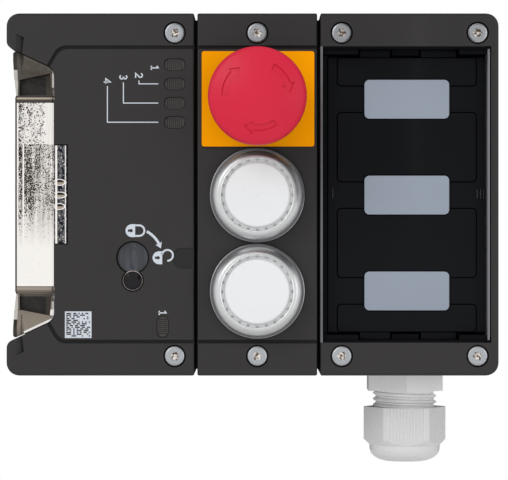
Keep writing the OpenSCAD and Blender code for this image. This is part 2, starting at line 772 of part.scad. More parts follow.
// Socket-head screws from behind that hold the casting on its deck
module guide_screws() {
    color(steel_tint) for (z = guide_screw_zs) difference() {
        union() {
            rod(guide_screw_x, z, deck_h - deck_t - guide_head_h, deck_h - deck_t, 7);
            rod(guide_screw_x, z, deck_h - deck_t - eps, guide_bore_h - 1, screw_d);
        }
        // hexagon socket
        translate([guide_screw_x, -(deck_h - deck_t - guide_head_h - 1), z]) rotate([90, 0, 0])
            cylinder(h = 2.8, d = 3.4, $fn = 6);
    }
}

// Ribbed light guides behind the indicator windows
module ribbed_window(x, z, w, h, pitch, upright) {
    n = floor(((upright ? w : h) - 1.2) / pitch);
    top_h = housing_d - window_sink;
    slab(top_h - rib_h, top_h) difference() {
        soft_rect(x, z, w - 2 * window_gap, h - 2 * window_gap, window_r - window_gap);
        for (k = [0:n - 1]) {
            off = (k - (n - 1) / 2) * pitch;
            translate([x + (upright ? off : 0), z + (upright ? 0 : off)])
                square(upright ? [pitch * 0.42, h - 1] : [w - 1, pitch * 0.42], center = true);
        }
    }
    slab(face_in - 0.2, top_h - rib_h + eps)
        soft_rect(x, z, w - 2 * window_gap, h - 2 * window_gap, window_r - window_gap);
}
module indicator_light_guide() {
    color("#4a4a4c") union() {
        block(indicator_x - 4.2, indicator_x + 2.8, indicator_zs[0] - 2.8, indicator_zs[3] + 2.8,
            board_h + board_t, face_in - 0.1);
        for (z = indicator_zs) ribbed_window(indicator_x, z, indicator_w, indicator_h, rib_pitch, true);
    }
}
module slot_light_guide() {
    color("#4a4a4c") union() {
        block(slot_window_x - 2.5, slot_window_x + 2.5, slot_window_z - 3.6, slot_window_z + 4.2,
            board_h + board_t, face_in - 0.1);
        ribbed_window(slot_window_x, slot_window_z, slot_window_w, slot_window_h, rib_pitch, false);
    }
}

// Auxiliary release: rotor with a driver slot and an eccentric pin, turned a quarter turn
module release_rotor() {
    r = rotor_body_d / 2;
    color("#2c3036") union() {
        difference() {
            union() {
                rod(release_x, release_z, rotor_end, rotor_top, rotor_body_d);
                rod(release_x, release_z, rotor_top - 0.45, rotor_top, rotor_d);
            }
            // driver slot
            block(release_x - 0.8, release_x + 0.8, release_z - 3.4, release_z + 3.4,
                rotor_top - 1.4, rotor_top + 1);
            // grooves of the seal ring and of the clip
            turned(release_x, release_z) {
                translate([r - 0.9, ring_h - ring_w / 2]) square([2, ring_w]);
                translate([r - 0.8, clip_h - 0.05]) square([2, clip_t + 0.1]);
            }
        }
        rod(release_x + crank_r, release_z, lever_h, rotor_end + eps, crank_pin_d);
    }
}
module release_seal_ring() {
    color(seal_tint) turned(release_x, release_z)
        translate([rotor_body_d / 2 - 0.9, ring_h - ring_w / 2 + 0.1]) square([0.9, ring_w - 0.2]);
}
module release_clip() {
    color(steel_tint) slab(clip_h, clip_h + clip_t) translate([release_x, release_z]) difference() {
        circle(d = rotor_body_d + 3.4);
        circle(d = rotor_body_d - 1.5);
        translate([-rotor_d, -1.6]) square([rotor_d, 3.2]);
    }
}
module release_lock_screw() {
    color("#1b1b1d") union() {
        turned(release_x, lock_screw_z) polygon([
            [0, lock_screw_seat], [3.3, lock_screw_seat], [3.3, lock_screw_seat + 0.7],
            [2.8, lock_screw_seat + 1.1], [1.8, lock_screw_seat + 1.35], [0, lock_screw_seat + 1.45]
        ]);
        rod(release_x, lock_screw_z, face_in - 2.5, lock_screw_seat + eps, lock_screw_d);
    }
}

// Flat lever: its nose blocks the tongue, its tail is pushed by the eccentric pin
module locking_lever() {
    arm_h = 5;
    color(steel_tint) difference() {
        slab(lever_h, lever_h + lever_t) {
            translate([lever_x, lever_z]) circle(r = 5.2);
            polygon(soft([
                [lever_x, lever_z - arm_h / 2, 0], [lever_x, lever_z + arm_h / 2, 0],
                [nose_x, lever_z + arm_h / 2, 1], [nose_x, lever_z - 5.5, 1.2],
                [nose_x + 4.6, lever_z - 5.5, 1.2], [nose_x + 5.4, lever_z - arm_h / 2, 0.4]
            ]));
            polygon(soft([
                [tail_face_x, lever_z, 0], [tail_face_x - tail_w, lever_z, 0],
                [tail_face_x - tail_w, release_z - 4.6, 1.2], [tail_face_x, release_z - 4.6, 0.6]
            ]));
        }
        rod(lever_x, lever_z, lever_h - 1, lever_h + lever_t + 1, screw_d + 2 * run_clear);
        rod(solenoid_x, lever_z, lever_h - 1, lever_h + lever_t + 1, 2.7);
    }
}
module lever_pin() {
    color(steel_tint) union() {
        rod(lever_x, lever_z, lever_h - 10.5, lever_h + lever_t + lever_gap + eps, screw_d);
        rod(lever_x, lever_z, lever_h + lever_t + lever_gap, lever_h + lever_t + lever_gap + 1.2, 7.4);
    }
}

// Solenoid: steel frame with its core, wound coil and sliding plunger
module upright(z0, z1, d) {
    translate([solenoid_x, -solenoid_h, z0]) cylinder(h = z1 - z0, d = d);
}
module solenoid_frame() {
    half = coil_d / 2;
    z0 = coil_z - frame_t - 0.1;
    z1 = coil_z + coil_l + 0.1;
    color(steel_tint) difference() {
        union() {
            block(solenoid_x - half, solenoid_x + half, z0, z1 + frame_t, frame_h0, frame_h0 + frame_t);
            block(solenoid_x - half, solenoid_x + half, z0, z0 + frame_t, frame_h0, solenoid_h + half);
            block(solenoid_x - half, solenoid_x + half, z1, z1 + frame_t, frame_h0, solenoid_h + half);
            upright(plunger_stop_z + 2.6, z1 + eps, plunger_d);
        }
        upright(z0 - 1, z0 + frame_t + 1, plunger_d + 0.6);
    }
}
module solenoid_coil() {
    r = coil_d / 2;
    color(copper_tint) translate([solenoid_x, -solenoid_h, coil_z]) rotate_extrude($fn = 72) polygon([
        [plunger_d / 2 + 0.06, 0], [r, 0], [r, 1], [r - 0.7, 1],
        [r - 0.7, coil_l - 1], [r, coil_l - 1], [r, coil_l], [plunger_d / 2 + 0.06, coil_l]
    ]);
}
module solenoid_plunger() {
    fork_gap = 0.3;
    color(steel_tint) union() {
        difference() {
            union() {
                upright(plunger_collar_z, plunger_stop_z, plunger_d);
                upright(plunger_collar_z, plunger_collar_z + 1, 8.4);
                upright(lever_z - 4, plunger_collar_z + eps, 8);
            }
            block(solenoid_x - 5, solenoid_x + 5, lever_z - 5, lever_z + 3.5,
                lever_h - fork_gap, lever_h + lever_t + fork_gap);
        }
        rod(solenoid_x, lever_z, solenoid_h - 3.4, solenoid_h + 3.4, 2);
    }
}

// Round wire wound into a helix about Z, from z = 0 to z = l
module coil_spring(r, wire, l, turns) {
    sides = 6;
    steps = 12 * turns;
    rise = l - wire;
    pts = [
        for (i = [0:steps], k = [0:sides - 1])
            let (a = 360 * i * turns / steps, b = 360 * k / sides, q = r + wire / 2 * cos(b))
            [q * cos(a), q * sin(a), wire / 2 + rise * i / steps + wire / 2 * sin(b)]
    ];
    sheath = [
        for (i = [0:steps - 1], k = [0:sides - 1])
            let (a = i * sides + k, b = i * sides + (k + 1) % sides)
            [a, a + sides, b + sides, b]
    ];
    ends = [[for (k = [0:sides - 1]) k], [for (k = [sides - 1:-1:0]) steps * sides + k]];
    polyhedron(points = pts, faces = concat(sheath, ends));
}
module plunger_spring() {
    z0 = plunger_collar_z + 1.05;
    color(steel_tint) translate([solenoid_x, -solenoid_h, z0])
        coil_spring(plunger_d / 2 + 0.75, 0.6, coil_z - frame_t - 0.15 - z0, 4);
}

// Circuit board of the lock module and the reader head at the end of the mouth
module lock_board() {
    color(board_tint) difference() {
        block(lock_board_x0, lock_board_x1, -screw_z + 6, screw_z - 6, board_h, board_h + board_t);
        for (z = post_zs) rod(post_x, z, board_h - 1, board_h + board_t + 1, post_pin_d);
    }
}
module reader_head() {
    color("#303234") union() {
        block(reader_x0, reader_x0 + reader_w, reader_z0, reader_z0 + reader_l, floor_t, mouth_h0 + 3);
        // plug of its lead
        rod_x(reader_x0 + reader_w - eps, reader_x0 + reader_w + 1.5, reader_z0 + reader_l / 2,
            mouth_h0 - 5, 8);
    }
}

// Inset black seal in a joint, with the windows for connector and screws
module joint_seals() {
    color(seal_tint) for (x0 = [lock_x1, control_x1]) difference() {
        block(x0, x0 + joint_gap, -top_z + joint_seal_inset, top_z - joint_seal_inset,
            joint_seal_inset, housing_d - joint_seal_inset);
        joint_openings(x0 - 1, x0 + joint_gap + 1, screw_d + 0.4);
    }
}
// Plug-in connectors that pass through the side walls on both sides of a joint
module joint_connectors() {
    reach = wall + 2;
    color("#26282b") for (x0 = [lock_x1, control_x1]) difference() {
        block(x0 - reach, x0 + joint_gap + reach, -connector_half + fit_clear, connector_half - fit_clear,
            connector_h0 + fit_clear, connector_h1 - fit_clear);
        for (x = [x0 - reach - 1, x0 + joint_gap + reach - 1.2])
            block(x, x + 2.2, -connector_half + 1.6, connector_half - 1.6,
                connector_h0 + 1.6, connector_h1 - 1.6);
    }
}
module joint_screw(x, dir) {
    reach = wall + joint_gap + wall + 5;
    x_head = dir > 0 ? x - joint_head_h : x;
    color(steel_tint) for (s = [-1, 1]) difference() {
        union() {
            rod_x(x_head, x_head + joint_head_h, s * joint_screw_z, joint_screw_h, 7);
            rod_x(dir > 0 ? x - eps : x - reach, dir > 0 ? x + reach : x + eps,
                s * joint_screw_z, joint_screw_h, screw_d);
        }
        translate([dir > 0 ? x_head - 1 : x_head + joint_head_h - 1.4, -joint_screw_h, s * joint_screw_z])
            rotate([0, 90, 0]) cylinder(h = 2.4, d = 3.6, $fn = 6);
    }
}
module joint_screws() {
    joint_screw(control_x0 + wall, -1);
    joint_screw(control_x1 - wall, 1);
}

// Control module
function control_outline(d) = frame_pts(control_x0, control_x1, top_z, d, joint_corner_r, joint_corner_r);
module control_base() {
    color(housing_tint) difference() {
        union() {
            difference() {
                slab(0, parting_h) polygon(soft(control_outline(0)));
                slab(floor_t, parting_h + 1) polygon(soft(control_outline(wall)));
            }
            base_pillars([control_x]);
            for (sx = [-1, 1], sz = [-1, 1])
                rod(control_x + sx * (control_w / 2 - 6), sz * (screw_z - 10), floor_t - eps,
                    control_board_h, post_d);
        }
        base_screw_bores([control_x]);
        joint_openings(control_x0 - 1, control_x0 + wall + 1, screw_d + 0.4);
        joint_openings(control_x1 - wall - 1, control_x1 + 1, screw_d + 0.4);
    }
}
module control_cover() {
    color(housing_tint) difference() {
        union() {
            difference() {
                cover_form(control_x0, control_x1, joint_corner_r, joint_corner_r);
                slab(cover_h0 - 1, face_in) polygon(soft(control_outline(wall)));
            }
            cover_pillars([control_x], cover_h0);
        }
        cover_screw_holes([control_x]);
        for (z = concat([stop_z], button_zs)) rod(control_x, z, face_in - 1, housing_d + 1, device_hole_d);
        for (s = [-1, 1]) {
            z = s * (field_z - band_line_w / 2);
            block(control_x0 - 1, control_x1 + 1, z - band_line_w / 2, z + band_line_w / 2,
                housing_d - control_line_depth, housing_d + 1);
        }
    }
}
module control_cover_seal() {
    color(seal_tint) cover_seal_ring(control_outline(seal_edge), control_outline(wall + seal_lip));
}
module control_board() {
    color(board_tint)
        block(control_x0 + wall + 0.5, control_x1 - wall - 0.5, -screw_z + 7, screw_z - 7,
            control_board_h, control_board_h + board_t);
}

// Emergency stop: plate, threaded collar, ring nut, stem and mushroom head
module estop_plate() {
    color("#f29400") difference() {
        slab(housing_d, stop_plate_h1)
            soft_rect(control_x + stop_plate_shift, stop_z, stop_plate_w, stop_plate_h, 0.8);
        rod(control_x, stop_z, housing_d - 1, stop_plate_h1 + 1, device_hole_d);
    }
}
module estop_collar() {
    r = stem_r + run_clear;
    recess_h = neck_bottom_h - stop_travel - 0.7;
    color("#2a2a2c") turned(control_x, stop_z) polygon([
        [r, stop_neck_end_h], [neck_r, stop_neck_end_h], [neck_r, stop_plate_h1], [14.6, stop_plate_h1],
        [14.6, stop_plate_h1 + 1.8], [13.6, stop_plate_h1 + 3.3],
        [12.9, collar_top_h - 1], [11.9, collar_top_h],
        [9.6, collar_top_h], [9.6, recess_h], [r, recess_h]
    ]);
}
// Ring nut with grip notches, screwed on a neck behind the cover
module ring_nut(z) {
    color("#3a3a3c") slab(face_in - nut_t, face_in) translate([control_x, z]) difference() {
        circle(r = 14, $fn = 72);
        circle(r = neck_r + run_clear, $fn = 72);
        for (a = [0:30:330]) rotate(a) translate([14.2, 0]) circle(r = 1, $fn = 24);
    }
}
module estop_nut() {
    ring_nut(stop_z);
}
module estop_stem() {
    color("#d8d8d6") turned(control_x, stop_z) polygon([
        [0, stop_neck_end_h - 0.5], [stem_r, stop_neck_end_h - 0.5], [stem_r, neck_bottom_h - 0.2],
        [spigot_r, neck_bottom_h - 0.2], [spigot_r, head_side_h - 1], [0, head_side_h - 1]
    ]);
}
function dome_pts() = concat(
    [for (a = [0:3:dome_a]) [dome_r * sin(a), head_top_h - dome_r * (1 - cos(a))]],
    [for (a = [90 - dome_a - 11:-11:0]) [rim_x + rim_r * cos(a), rim_h + rim_r * sin(a)]]
);
module turn_arrow() {
    r0 = 9.4;
    r1 = 11.6;
    mid = (r0 + r1) / 2;
    polygon(concat(
        [for (a = [0:6:42]) r1 * [cos(a), sin(a)]],
        [for (a = [42:-6:0]) r0 * [cos(a), sin(a)]]
    ));
    polygon([(r0 - 1.1) * [1, 0], (r1 + 1.1) * [1, 0], mid * [cos(-16), sin(-16)] / cos(8)]);
}
module estop_head() {
    arrow_depth = 0.45;
    color("#c8102e") difference() {
        turned(control_x, stop_z) polygon(concat(
            dome_pts(),
            [
                [head_r, head_side_h - 2.6], [head_r - 0.8, head_side_h - 3.6], [9.2, head_side_h - 4.4],
                [9.2, neck_bottom_h], [spigot_r + run_clear, neck_bottom_h],
                [spigot_r + run_clear, head_side_h - 0.6], [0, head_side_h - 0.6]
            ]
        ));
        intersection() {
            slab(head_side_h, head_top_h + 1) translate([control_x, stop_z])
                for (a = [180, 62, -56]) rotate(a - 42) turn_arrow();
            difference() {
                translate([control_x, -head_top_h, stop_z]) cube([head_d, 20, head_d], center = true);
                translate([control_x, -(head_top_h - dome_r), stop_z])
                    sphere(r = dome_r - arrow_depth, $fn = 96);
            }
        }
    }
}
module estop_contact_block() {
    color("#26282b") difference() {
        block(control_x - 15, control_x + 15, stop_z - 10, stop_z + 10,
            control_board_h + board_t, stop_neck_end_h);
        rod(control_x, stop_z, stop_neck_end_h - stop_travel - 1, stop_neck_end_h + 1, 2 * stem_r + 0.5);
    }
}

// Illuminated push-button: bezel, lens, sliding carrier, spring, ring nut and switch block
module button_bezel(z) {
    r = bezel_d / 2;
    top_h = housing_d + bezel_h;
    seat = housing_d + bezel_seat_t;
    flange_h = seat + bezel_flange_t;
    groove_h = flange_h - 0.6;
    lip_r = cup_r + 0.35;
    crown = bezel_groove_r - 0.2 - lip_r;
    color("#b9bbbd") turned(control_x, z) polygon(concat(
        [[shaft_r + run_clear, neck_end_h], [neck_r, neck_end_h], [neck_r, seat], [r, seat]],
        [[r, flange_h - 0.3], [r - 0.3, flange_h], [bezel_groove_r, flange_h], [bezel_groove_r, groove_h]],
        [for (a = [0:10:90]) [lip_r + crown * cos(a), groove_h + (top_h - groove_h) * sin(a)]],
        [[cup_r, top_h], [cup_r, cup_floor_h], [shaft_r + run_clear, cup_floor_h]]
    ));
}
module button_lens(z) {
    r = lens_d / 2;
    color("#e4e6e9") turned(control_x, z) polygon([
        [0, lens_seat_h], [r, lens_seat_h], [r, carrier_top + 0.6], [r - 0.5, carrier_top + 1],
        [r - 3, carrier_top + 1.15], [0, carrier_top + 1.2]
    ]);
}
module button_carrier(z) {
    notches = 24;
    color("#b4b6b8") difference() {
        turned(control_x, z) polygon([
            [6, neck_end_h + button_travel + 0.5], [shaft_r, neck_end_h + button_travel + 0.5],
            [shaft_r, carrier_h0], [carrier_r, carrier_h0],
            [carrier_r, carrier_top], [lens_d / 2 + run_clear, carrier_top],
            [lens_d / 2 + run_clear, lens_seat_h], [3.8, lens_seat_h], [3.8, spring_top_h], [6, spring_top_h]
        ]);
        for (k = [0:notches - 1]) translate([control_x, 0, z]) rotate([0, k * 360 / notches, 0])
            block(carrier_r - 0.7, carrier_r + 1, -0.45, 0.45, carrier_top - 0.7, carrier_top + 1);
    }
}
module button_spring(z) {
    color(steel_tint) translate([control_x, -neck_end_h - 0.05, z]) rotate([90, 0, 0])
        coil_spring(4.9, 0.8, spring_top_h - neck_end_h - 0.1, 5);
}
module button_block(z) {
    color("#26282b") union() {
        block(control_x - 11, control_x + 11, z - 10, z + 10, control_board_h + board_t, neck_end_h);
        // lamp
        rod(control_x, z, neck_end_h - eps, neck_end_h + 10, 6);
    }
}
module button_upper_bezel() {
    button_bezel(button_zs[0]);
}
module button_upper_lens() {
    button_lens(button_zs[0]);
}
module button_upper_carrier() {
    button_carrier(button_zs[0]);
}
module button_upper_spring() {
    button_spring(button_zs[0]);
}
module button_upper_nut() {
    ring_nut(button_zs[0]);
}
module button_upper_block() {
    button_block(button_zs[0]);
}
module button_lower_bezel() {
    button_bezel(button_zs[1]);
}
module button_lower_lens() {
    button_lens(button_zs[1]);
}
module button_lower_carrier() {
    button_carrier(button_zs[1]);
}
module button_lower_spring() {
    button_spring(button_zs[1]);
}
module button_lower_nut() {
    ring_nut(button_zs[1]);
}
module button_lower_block() {
    button_block(button_zs[1]);
}
module button_gaskets() {
    color(seal_tint) slab(housing_d, housing_d + bezel_seat_t)
        for (z = button_zs) translate([control_x, z]) difference() {
            circle(r = bezel_d / 2 + gasket_lip, $fn = 72);
            circle(r = neck_r + 0.1, $fn = 72);
        }
}

// Bus module
function bus_outline(d) = frame_pts(bus_x0, bus_x1, top_z, d, joint_corner_r, corner_r);
module bus_base() {
    color(housing_tint) difference() {
        union() {
            difference() {
                slab(0, parting_h) polygon(soft(bus_outline(0)));
                slab(floor_t, parting_h + 1) polygon(soft(bus_outline(wall)));
            }
            base_pillars(bus_screw_xs);
            mount_bosses(mount_pitch_x / 2);
            for (s = [-1, 1]) rod_x(bus_x0 + 1, bus_x0 + wall + 6, s * joint_screw_z, joint_screw_h, 8);
            for (sx = [-1, 1], sz = [-1, 1])
                rod(bus_x + sx * (bus_board_half - 4), sz * (bus_board_z - 3), floor_t - eps,
                    control_board_h, post_d);
        }
        base_screw_bores(bus_screw_xs);
        mount_holes(mount_pitch_x / 2);
        joint_openings(bus_x0 - 1, bus_x0 + wall + 5, thread_bore_d);
        translate([gland_x, -gland_h, -top_z - 1]) cylinder(h = wall + 2, d = gland_thread_d + 0.4);
    }
}
// Bevels along the top, bottom and right edges of the label field
module field_bevels() {
    b = field_bevel;
    mirrored_z() translate([opening_x0, 0, 0]) rotate([90, 0, 90]) linear_extrude(opening_x1 + b - opening_x0)
        polygon([
            [-housing_d + b, opening_z - 1], [-housing_d + b, opening_z],
            [-housing_d - eps, opening_z + b], [-housing_d - 1, opening_z - 1]
        ]);
    translate([0, 0, -opening_z - b]) linear_extrude(2 * (opening_z + b)) polygon([
        [opening_x1 - 1, -housing_d + b], [opening_x1, -housing_d + b],
        [opening_x1 + b, -housing_d - eps], [opening_x1 - 1, -housing_d - 1]
    ]);
}
module corner_ledge(x0, x1) {
    block(x0, x1, opening_z - ledge_z, opening_z + eps, panel_h1 - 2, housing_d - 2);
}
module bus_cover() {
    color(housing_tint) difference() {
        union() {
            difference() {
                cover_form(bus_x0, bus_x1, joint_corner_r, corner_r);
                // label field, with the lower step along the joint
                block(opening_x0, opening_x1, -opening_z, opening_z, step_h, housing_d + 1);
                block(step_x, opening_x1, -opening_z, opening_z, panel_h0, step_h + eps);
                block(step_x + lip_w, opening_x1 - lip_w, -opening_z + lip_w, opening_z - lip_w,
                    cover_h0 - 1, panel_h0 + 1);
                field_bevels();
                // hollow bands above and below the field
                mirrored_z() block(bus_x0 + wall, bus_x1 - wall, opening_z + wall, top_z - wall,
                    cover_h0 - 1, face_in);
            }
            cover_pillars(bus_screw_xs, cover_h0);
            mirrored_z() {
                // ledges in the corners of the field and snap hooks in the middle
                corner_ledge(opening_x0 - eps, opening_x0 + ledge_w0);
                corner_ledge(opening_x1 - ledge_w1, opening_x1 + eps);
                block(hook_x - hook_half, hook_x + hook_half, opening_z - hook_z, opening_z + eps,
                    panel_h0 + 1, panel_h1 + 0.3);
            }
        }
        cover_screw_holes(bus_screw_xs);
    }
}
module bus_cover_seal() {
    color(seal_tint) cover_seal_ring(bus_outline(seal_edge), bus_outline(wall + seal_lip));
}

// Label panel: a plate let into the field, with four raised fields and three label pockets
module island(z0, z1) {
    soft_rect(label_x, (z0 + z1) / 2, island_w, z1 - z0, 1.4);
}
module panel_cut(x0, x1, depth) {
    block(x0, x1, opening_z - depth - ledge_room, opening_z + 1, panel_h0 - 1, panel_h1 + 1);
}
module label_panel() {
    half = opening_z - 0.1;
    edge = half - 2.4;
    color(panel_tint) difference() {
        union() {
            block(panel_x0, panel_x1, -half, half, panel_h0, panel_h1);
            slab(panel_h1 - eps, panel_h1 + island_t) {
                island(label_zs[0] + channel_h / 2, edge);
                island(label_zs[1] + channel_h / 2, label_zs[0] - channel_h / 2);
                island(label_zs[2] + channel_h / 2, label_zs[1] - channel_h / 2);
                island(-edge, label_zs[2] - channel_h / 2);
            }
        }
        // corners cut round the ledges, and openings for the snap hooks
        mirrored_z() {
            panel_cut(panel_x0 - 1, opening_x0 + ledge_w0 + ledge_room, ledge_z);
            panel_cut(opening_x1 - ledge_w1 - ledge_room, panel_x1 + 1, ledge_z);
            panel_cut(hook_x - hook_half - ledge_room, hook_x + hook_half + ledge_room, hook_z);
        }
        // pockets of the label plates
        slab(panel_h1 - label_sink, panel_h1 + 1)
            for (z = label_zs) soft_rect(label_x, z, label_w + 0.8, label_h + 0.8, 2);
        // key marks at the sides of the field
        for (x = [label_x - island_w / 2 - 1.9, label_x + island_w / 2 + 1.2])
            block(x, x + 0.7, label_zs[1] - 1.5, label_zs[1] + 1.5, panel_h1 - 0.3, panel_h1 + 1);
    }
}
module label_plate(z) {
    h0 = panel_h1 - label_sink;
    color("#97a0ad") slab(h0, h0 + label_t) soft_rect(label_x, z, label_w, label_h, 1.6);
}
module label_plate_upper() {
    label_plate(label_zs[0]);
}
module label_plate_middle() {
    label_plate(label_zs[1]);
}
module label_plate_lower() {
    label_plate(label_zs[2]);
}
module bus_board() {
    color(board_tint)
        block(bus_x - bus_board_half, bus_x + bus_board_half, -bus_board_z, bus_board_z,
            control_board_h, control_board_h + board_t);
}
module terminal_block() {
    poles = 6;
    pitch = 5;
    h0 = control_board_h + board_t;
    color("#4d7a4f") difference() {
        block(bus_x - poles * pitch / 2 - 1, bus_x + poles * pitch / 2 + 1,
            terminal_z, terminal_z + terminal_l, h0, h0 + terminal_h);
        for (k = [0:poles - 1]) {
            x = bus_x + (k - (poles - 1) / 2) * pitch;
            block(x - 1.7, x + 1.7, terminal_z - 1, terminal_z + 6, h0 + 2, h0 + 6);
            rod(x, terminal_z + 8, h0 + terminal_h - 5, h0 + terminal_h + 1, 3.4);
        }
    }
}

// Cable gland under the bus module
module gland_solid() {
    translate([gland_x, -gland_h, 0]) rotate_extrude($fn = 96) children();
}
module gland_body() {
    bore = cable_d / 2 + 2.5;
    color(grey_tint) difference() {
        union() {
            translate([gland_x, -gland_h, hex_z]) rotate(30)
                cylinder(h = gland_hex_h, r = gland_flats / 2 / cos(30), $fn = 6);
            gland_solid() polygon([
                [0, gland_inner_z], [gland_thread_d / 2 - 0.1, gland_inner_z],
                [gland_thread_d / 2 - 0.1, hex_z + 1], [gland_root_r, hex_z + 1],
                [gland_root_r, rib_z + 1], [0, rib_z + 1]
            ]);
        }
        translate([gland_x, -gland_h, rib_z]) cylinder(h = gland_inner_z - rib_z + 1, r = bore);
    }
}
module gland_locknut() {
    color(grey_tint) difference() {
        translate([gland_x, -gland_h, -top_z + wall])
            cylinder(h = locknut_h, r = locknut_flats / 2 / cos(30), $fn = 6);
        translate([gland_x, -gland_h, -top_z + wall - 1])
            cylinder(h = locknut_h + 2, d = gland_thread_d - 0.2 + 2 * run_clear);
    }
}
module gland_insert() {
    color("#3c3c3e") gland_solid() polygon([
        [cable_d / 2, hex_z], [cable_d / 2 + 2.45, hex_z],
        [cable_d / 2 + 2.45, chamfer_z - 0.8], [cable_d / 2, chamfer_z - 0.8]
    ]);
}
module gland_cap() {
    flute_r = 0.34;
    flute_pitch = 1.1;
    dome_w = cap_flats / 2 - 0.5;
    fullness = 0.72;
    seal_r = cable_d / 2 + 2.7;
    throat = cable_d / 2 + 1.3;
    thread_r = gland_root_r + run_clear;
    color(grey_tint) difference() {
        intersection() {
            union() {
                translate([gland_x, -gland_h, chamfer_z])
                    linear_extrude(rib_z - chamfer_z + cap_rib_l) difference() {
                        circle(r = cap_flats / 2 / cos(30), $fn = 6);
                        for (side = [-90, 30, 150], k = [-6:6]) rotate(side)
                            translate([cap_flats / 2 + 0.06, k * flute_pitch]) circle(r = flute_r, $fn = 16);
                    }
                gland_solid() polygon(concat(
                    [[0, chamfer_z + 1], [dome_w, chamfer_z + 1]],
                    [for (a = [0:9:90])
                        [dome_w * pow(cos(a), fullness), chamfer_z - cap_dome_l * pow(sin(a), fullness)]]
                ));
            }
            // turned envelope with the chamfer at the lower end
            gland_solid() polygon([
                [0, neck_z + 1], [cap_d / 2, neck_z + 1], [cap_d / 2, rib_z],
                [dome_w, chamfer_z], [dome_w, dome_z - 1], [0, dome_z - 1]
            ]);
        }
        gland_solid() polygon([
            [0, neck_z + 1], [thread_r, neck_z + 1], [thread_r, rib_z],
            [seal_r, rib_z - 1], [seal_r, chamfer_z - 1], [throat, chamfer_z - 1.6],
            [throat, dome_z + 1.2], [throat + 1.2, dome_z - eps], [0, dome_z - eps]
        ]);
    }
}

// Six-lobe screws of the covers
module cover_screw(x, z) {
    r = screw_head_d / 2;
    color(steel_tint) difference() {
        union() {
            turned(x, z) polygon([
                [0, screw_seat_h], [r, screw_seat_h], [r, screw_seat_h + screw_head_h * 0.75],
                [r * 0.93, screw_seat_h + screw_head_h * 0.94], [r * 0.8, screw_seat_h + screw_head_h],
                [0, screw_seat_h + screw_head_h]
            ]);
            rod(x, z, screw_tip_h, screw_seat_h + eps, screw_d);
        }
        slab(screw_seat_h + screw_head_h - 1.4, housing_d + 1) translate([x, z]) {
            circle(r = 1.2, $fn = 24);
            for (a = [0:60:300]) rotate(a) translate([1.15, 0]) circle(r = 0.42, $fn = 16);
        }
    }
}
module cover_screws() {
    for (x = concat([lock_screw_x, control_x], bus_screw_xs), s = [-1, 1]) cover_screw(x, s * screw_z);
}

lock_base();
lock_cover();
lock_cover_seal();
tongue_guide();
guide_screws();
indicator_light_guide();
slot_light_guide();
release_rotor();
release_seal_ring();
release_clip();
release_lock_screw();
locking_lever();
lever_pin();
solenoid_frame();
solenoid_coil();
solenoid_plunger();
plunger_spring();
lock_board();
reader_head();
joint_seals();
joint_connectors();
joint_screws();
control_base();
control_cover();
control_cover_seal();
control_board();
estop_plate();
estop_collar();
estop_nut();
estop_stem();
estop_head();
estop_contact_block();
button_upper_bezel();
button_upper_lens();
button_upper_carrier();
button_upper_spring();
button_upper_nut();
button_upper_block();
button_lower_bezel();
button_lower_lens();
button_lower_carrier();
button_lower_spring();
button_lower_nut();
button_lower_block();
button_gaskets();
bus_base();
bus_cover();
bus_cover_seal();
label_panel();
label_plate_upper();
label_plate_middle();
label_plate_lower();
bus_board();
terminal_block();
gland_body();
gland_locknut();
gland_insert();
gland_cap();
cover_screws();
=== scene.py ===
import math
import random

import bmesh
import bpy
from mathutils import Matrix, Vector


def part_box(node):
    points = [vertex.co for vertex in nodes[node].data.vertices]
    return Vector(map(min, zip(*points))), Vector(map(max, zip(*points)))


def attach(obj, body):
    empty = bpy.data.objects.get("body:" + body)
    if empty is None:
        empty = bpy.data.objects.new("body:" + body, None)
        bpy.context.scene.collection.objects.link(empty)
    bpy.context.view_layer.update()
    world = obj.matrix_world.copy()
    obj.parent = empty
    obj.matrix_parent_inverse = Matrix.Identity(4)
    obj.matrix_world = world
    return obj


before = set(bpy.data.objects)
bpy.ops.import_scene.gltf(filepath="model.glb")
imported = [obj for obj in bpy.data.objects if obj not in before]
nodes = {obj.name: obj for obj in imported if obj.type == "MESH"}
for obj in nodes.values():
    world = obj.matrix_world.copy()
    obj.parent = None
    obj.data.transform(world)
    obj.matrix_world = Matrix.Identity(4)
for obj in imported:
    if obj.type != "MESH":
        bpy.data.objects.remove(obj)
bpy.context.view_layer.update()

# Camera. The catalogue view looks level and square at the front, from about a metre with a long lens.
# Its axis runs a little low, so that the cable gland below the housings stays in the picture.
MM = 0.001
front_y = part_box("lock_cover")[0].y
camera_distance = 950 * MM
camera_x = 0.47 * MM
camera_z = -15.07 * MM
view_width = 168.1 * MM
sensor_width = 36.0

camera_data = bpy.data.cameras.new("camera")
camera_data.sensor_fit = "HORIZONTAL"
camera_data.sensor_width = sensor_width
camera_data.lens = sensor_width * camera_distance / view_width
camera_data.clip_start = 0.05
camera_data.clip_end = 20.0
camera = bpy.data.objects.new("camera", camera_data)
camera.location = (camera_x, front_y - camera_distance, camera_z)
camera.rotation_euler = (math.radians(90), 0, 0)
bpy.context.scene.collection.objects.link(camera)
bpy.context.scene.camera = camera
bpy.context.scene.view_settings.view_transform = "Standard"


# Studio. A white catalogue set: a large soft lamp at the upper left, a weaker one at the right, white all
# round. Black cloth behind and over the object is seen only by its shine, which draws the dark edges.
floor_z = -130 * MM
floor_r = 300 * MM
floor_steps = 96
floor_grain = 2 * MM
fade_start = 0.6 * floor_r
cloth_weave = 2.5 * MM
ambient = 0.66


def linear(code):
    """An sRGB hex colour such as #3a3836 as the linear colour that a socket takes."""
    parts = [int(code[i:i + 2], 16) / 255 for i in (1, 3, 5)]
    return tuple(c / 12.92 if c <= 0.04045 else ((c + 0.055) / 1.055) ** 2.4 for c in parts) + (1.0,)


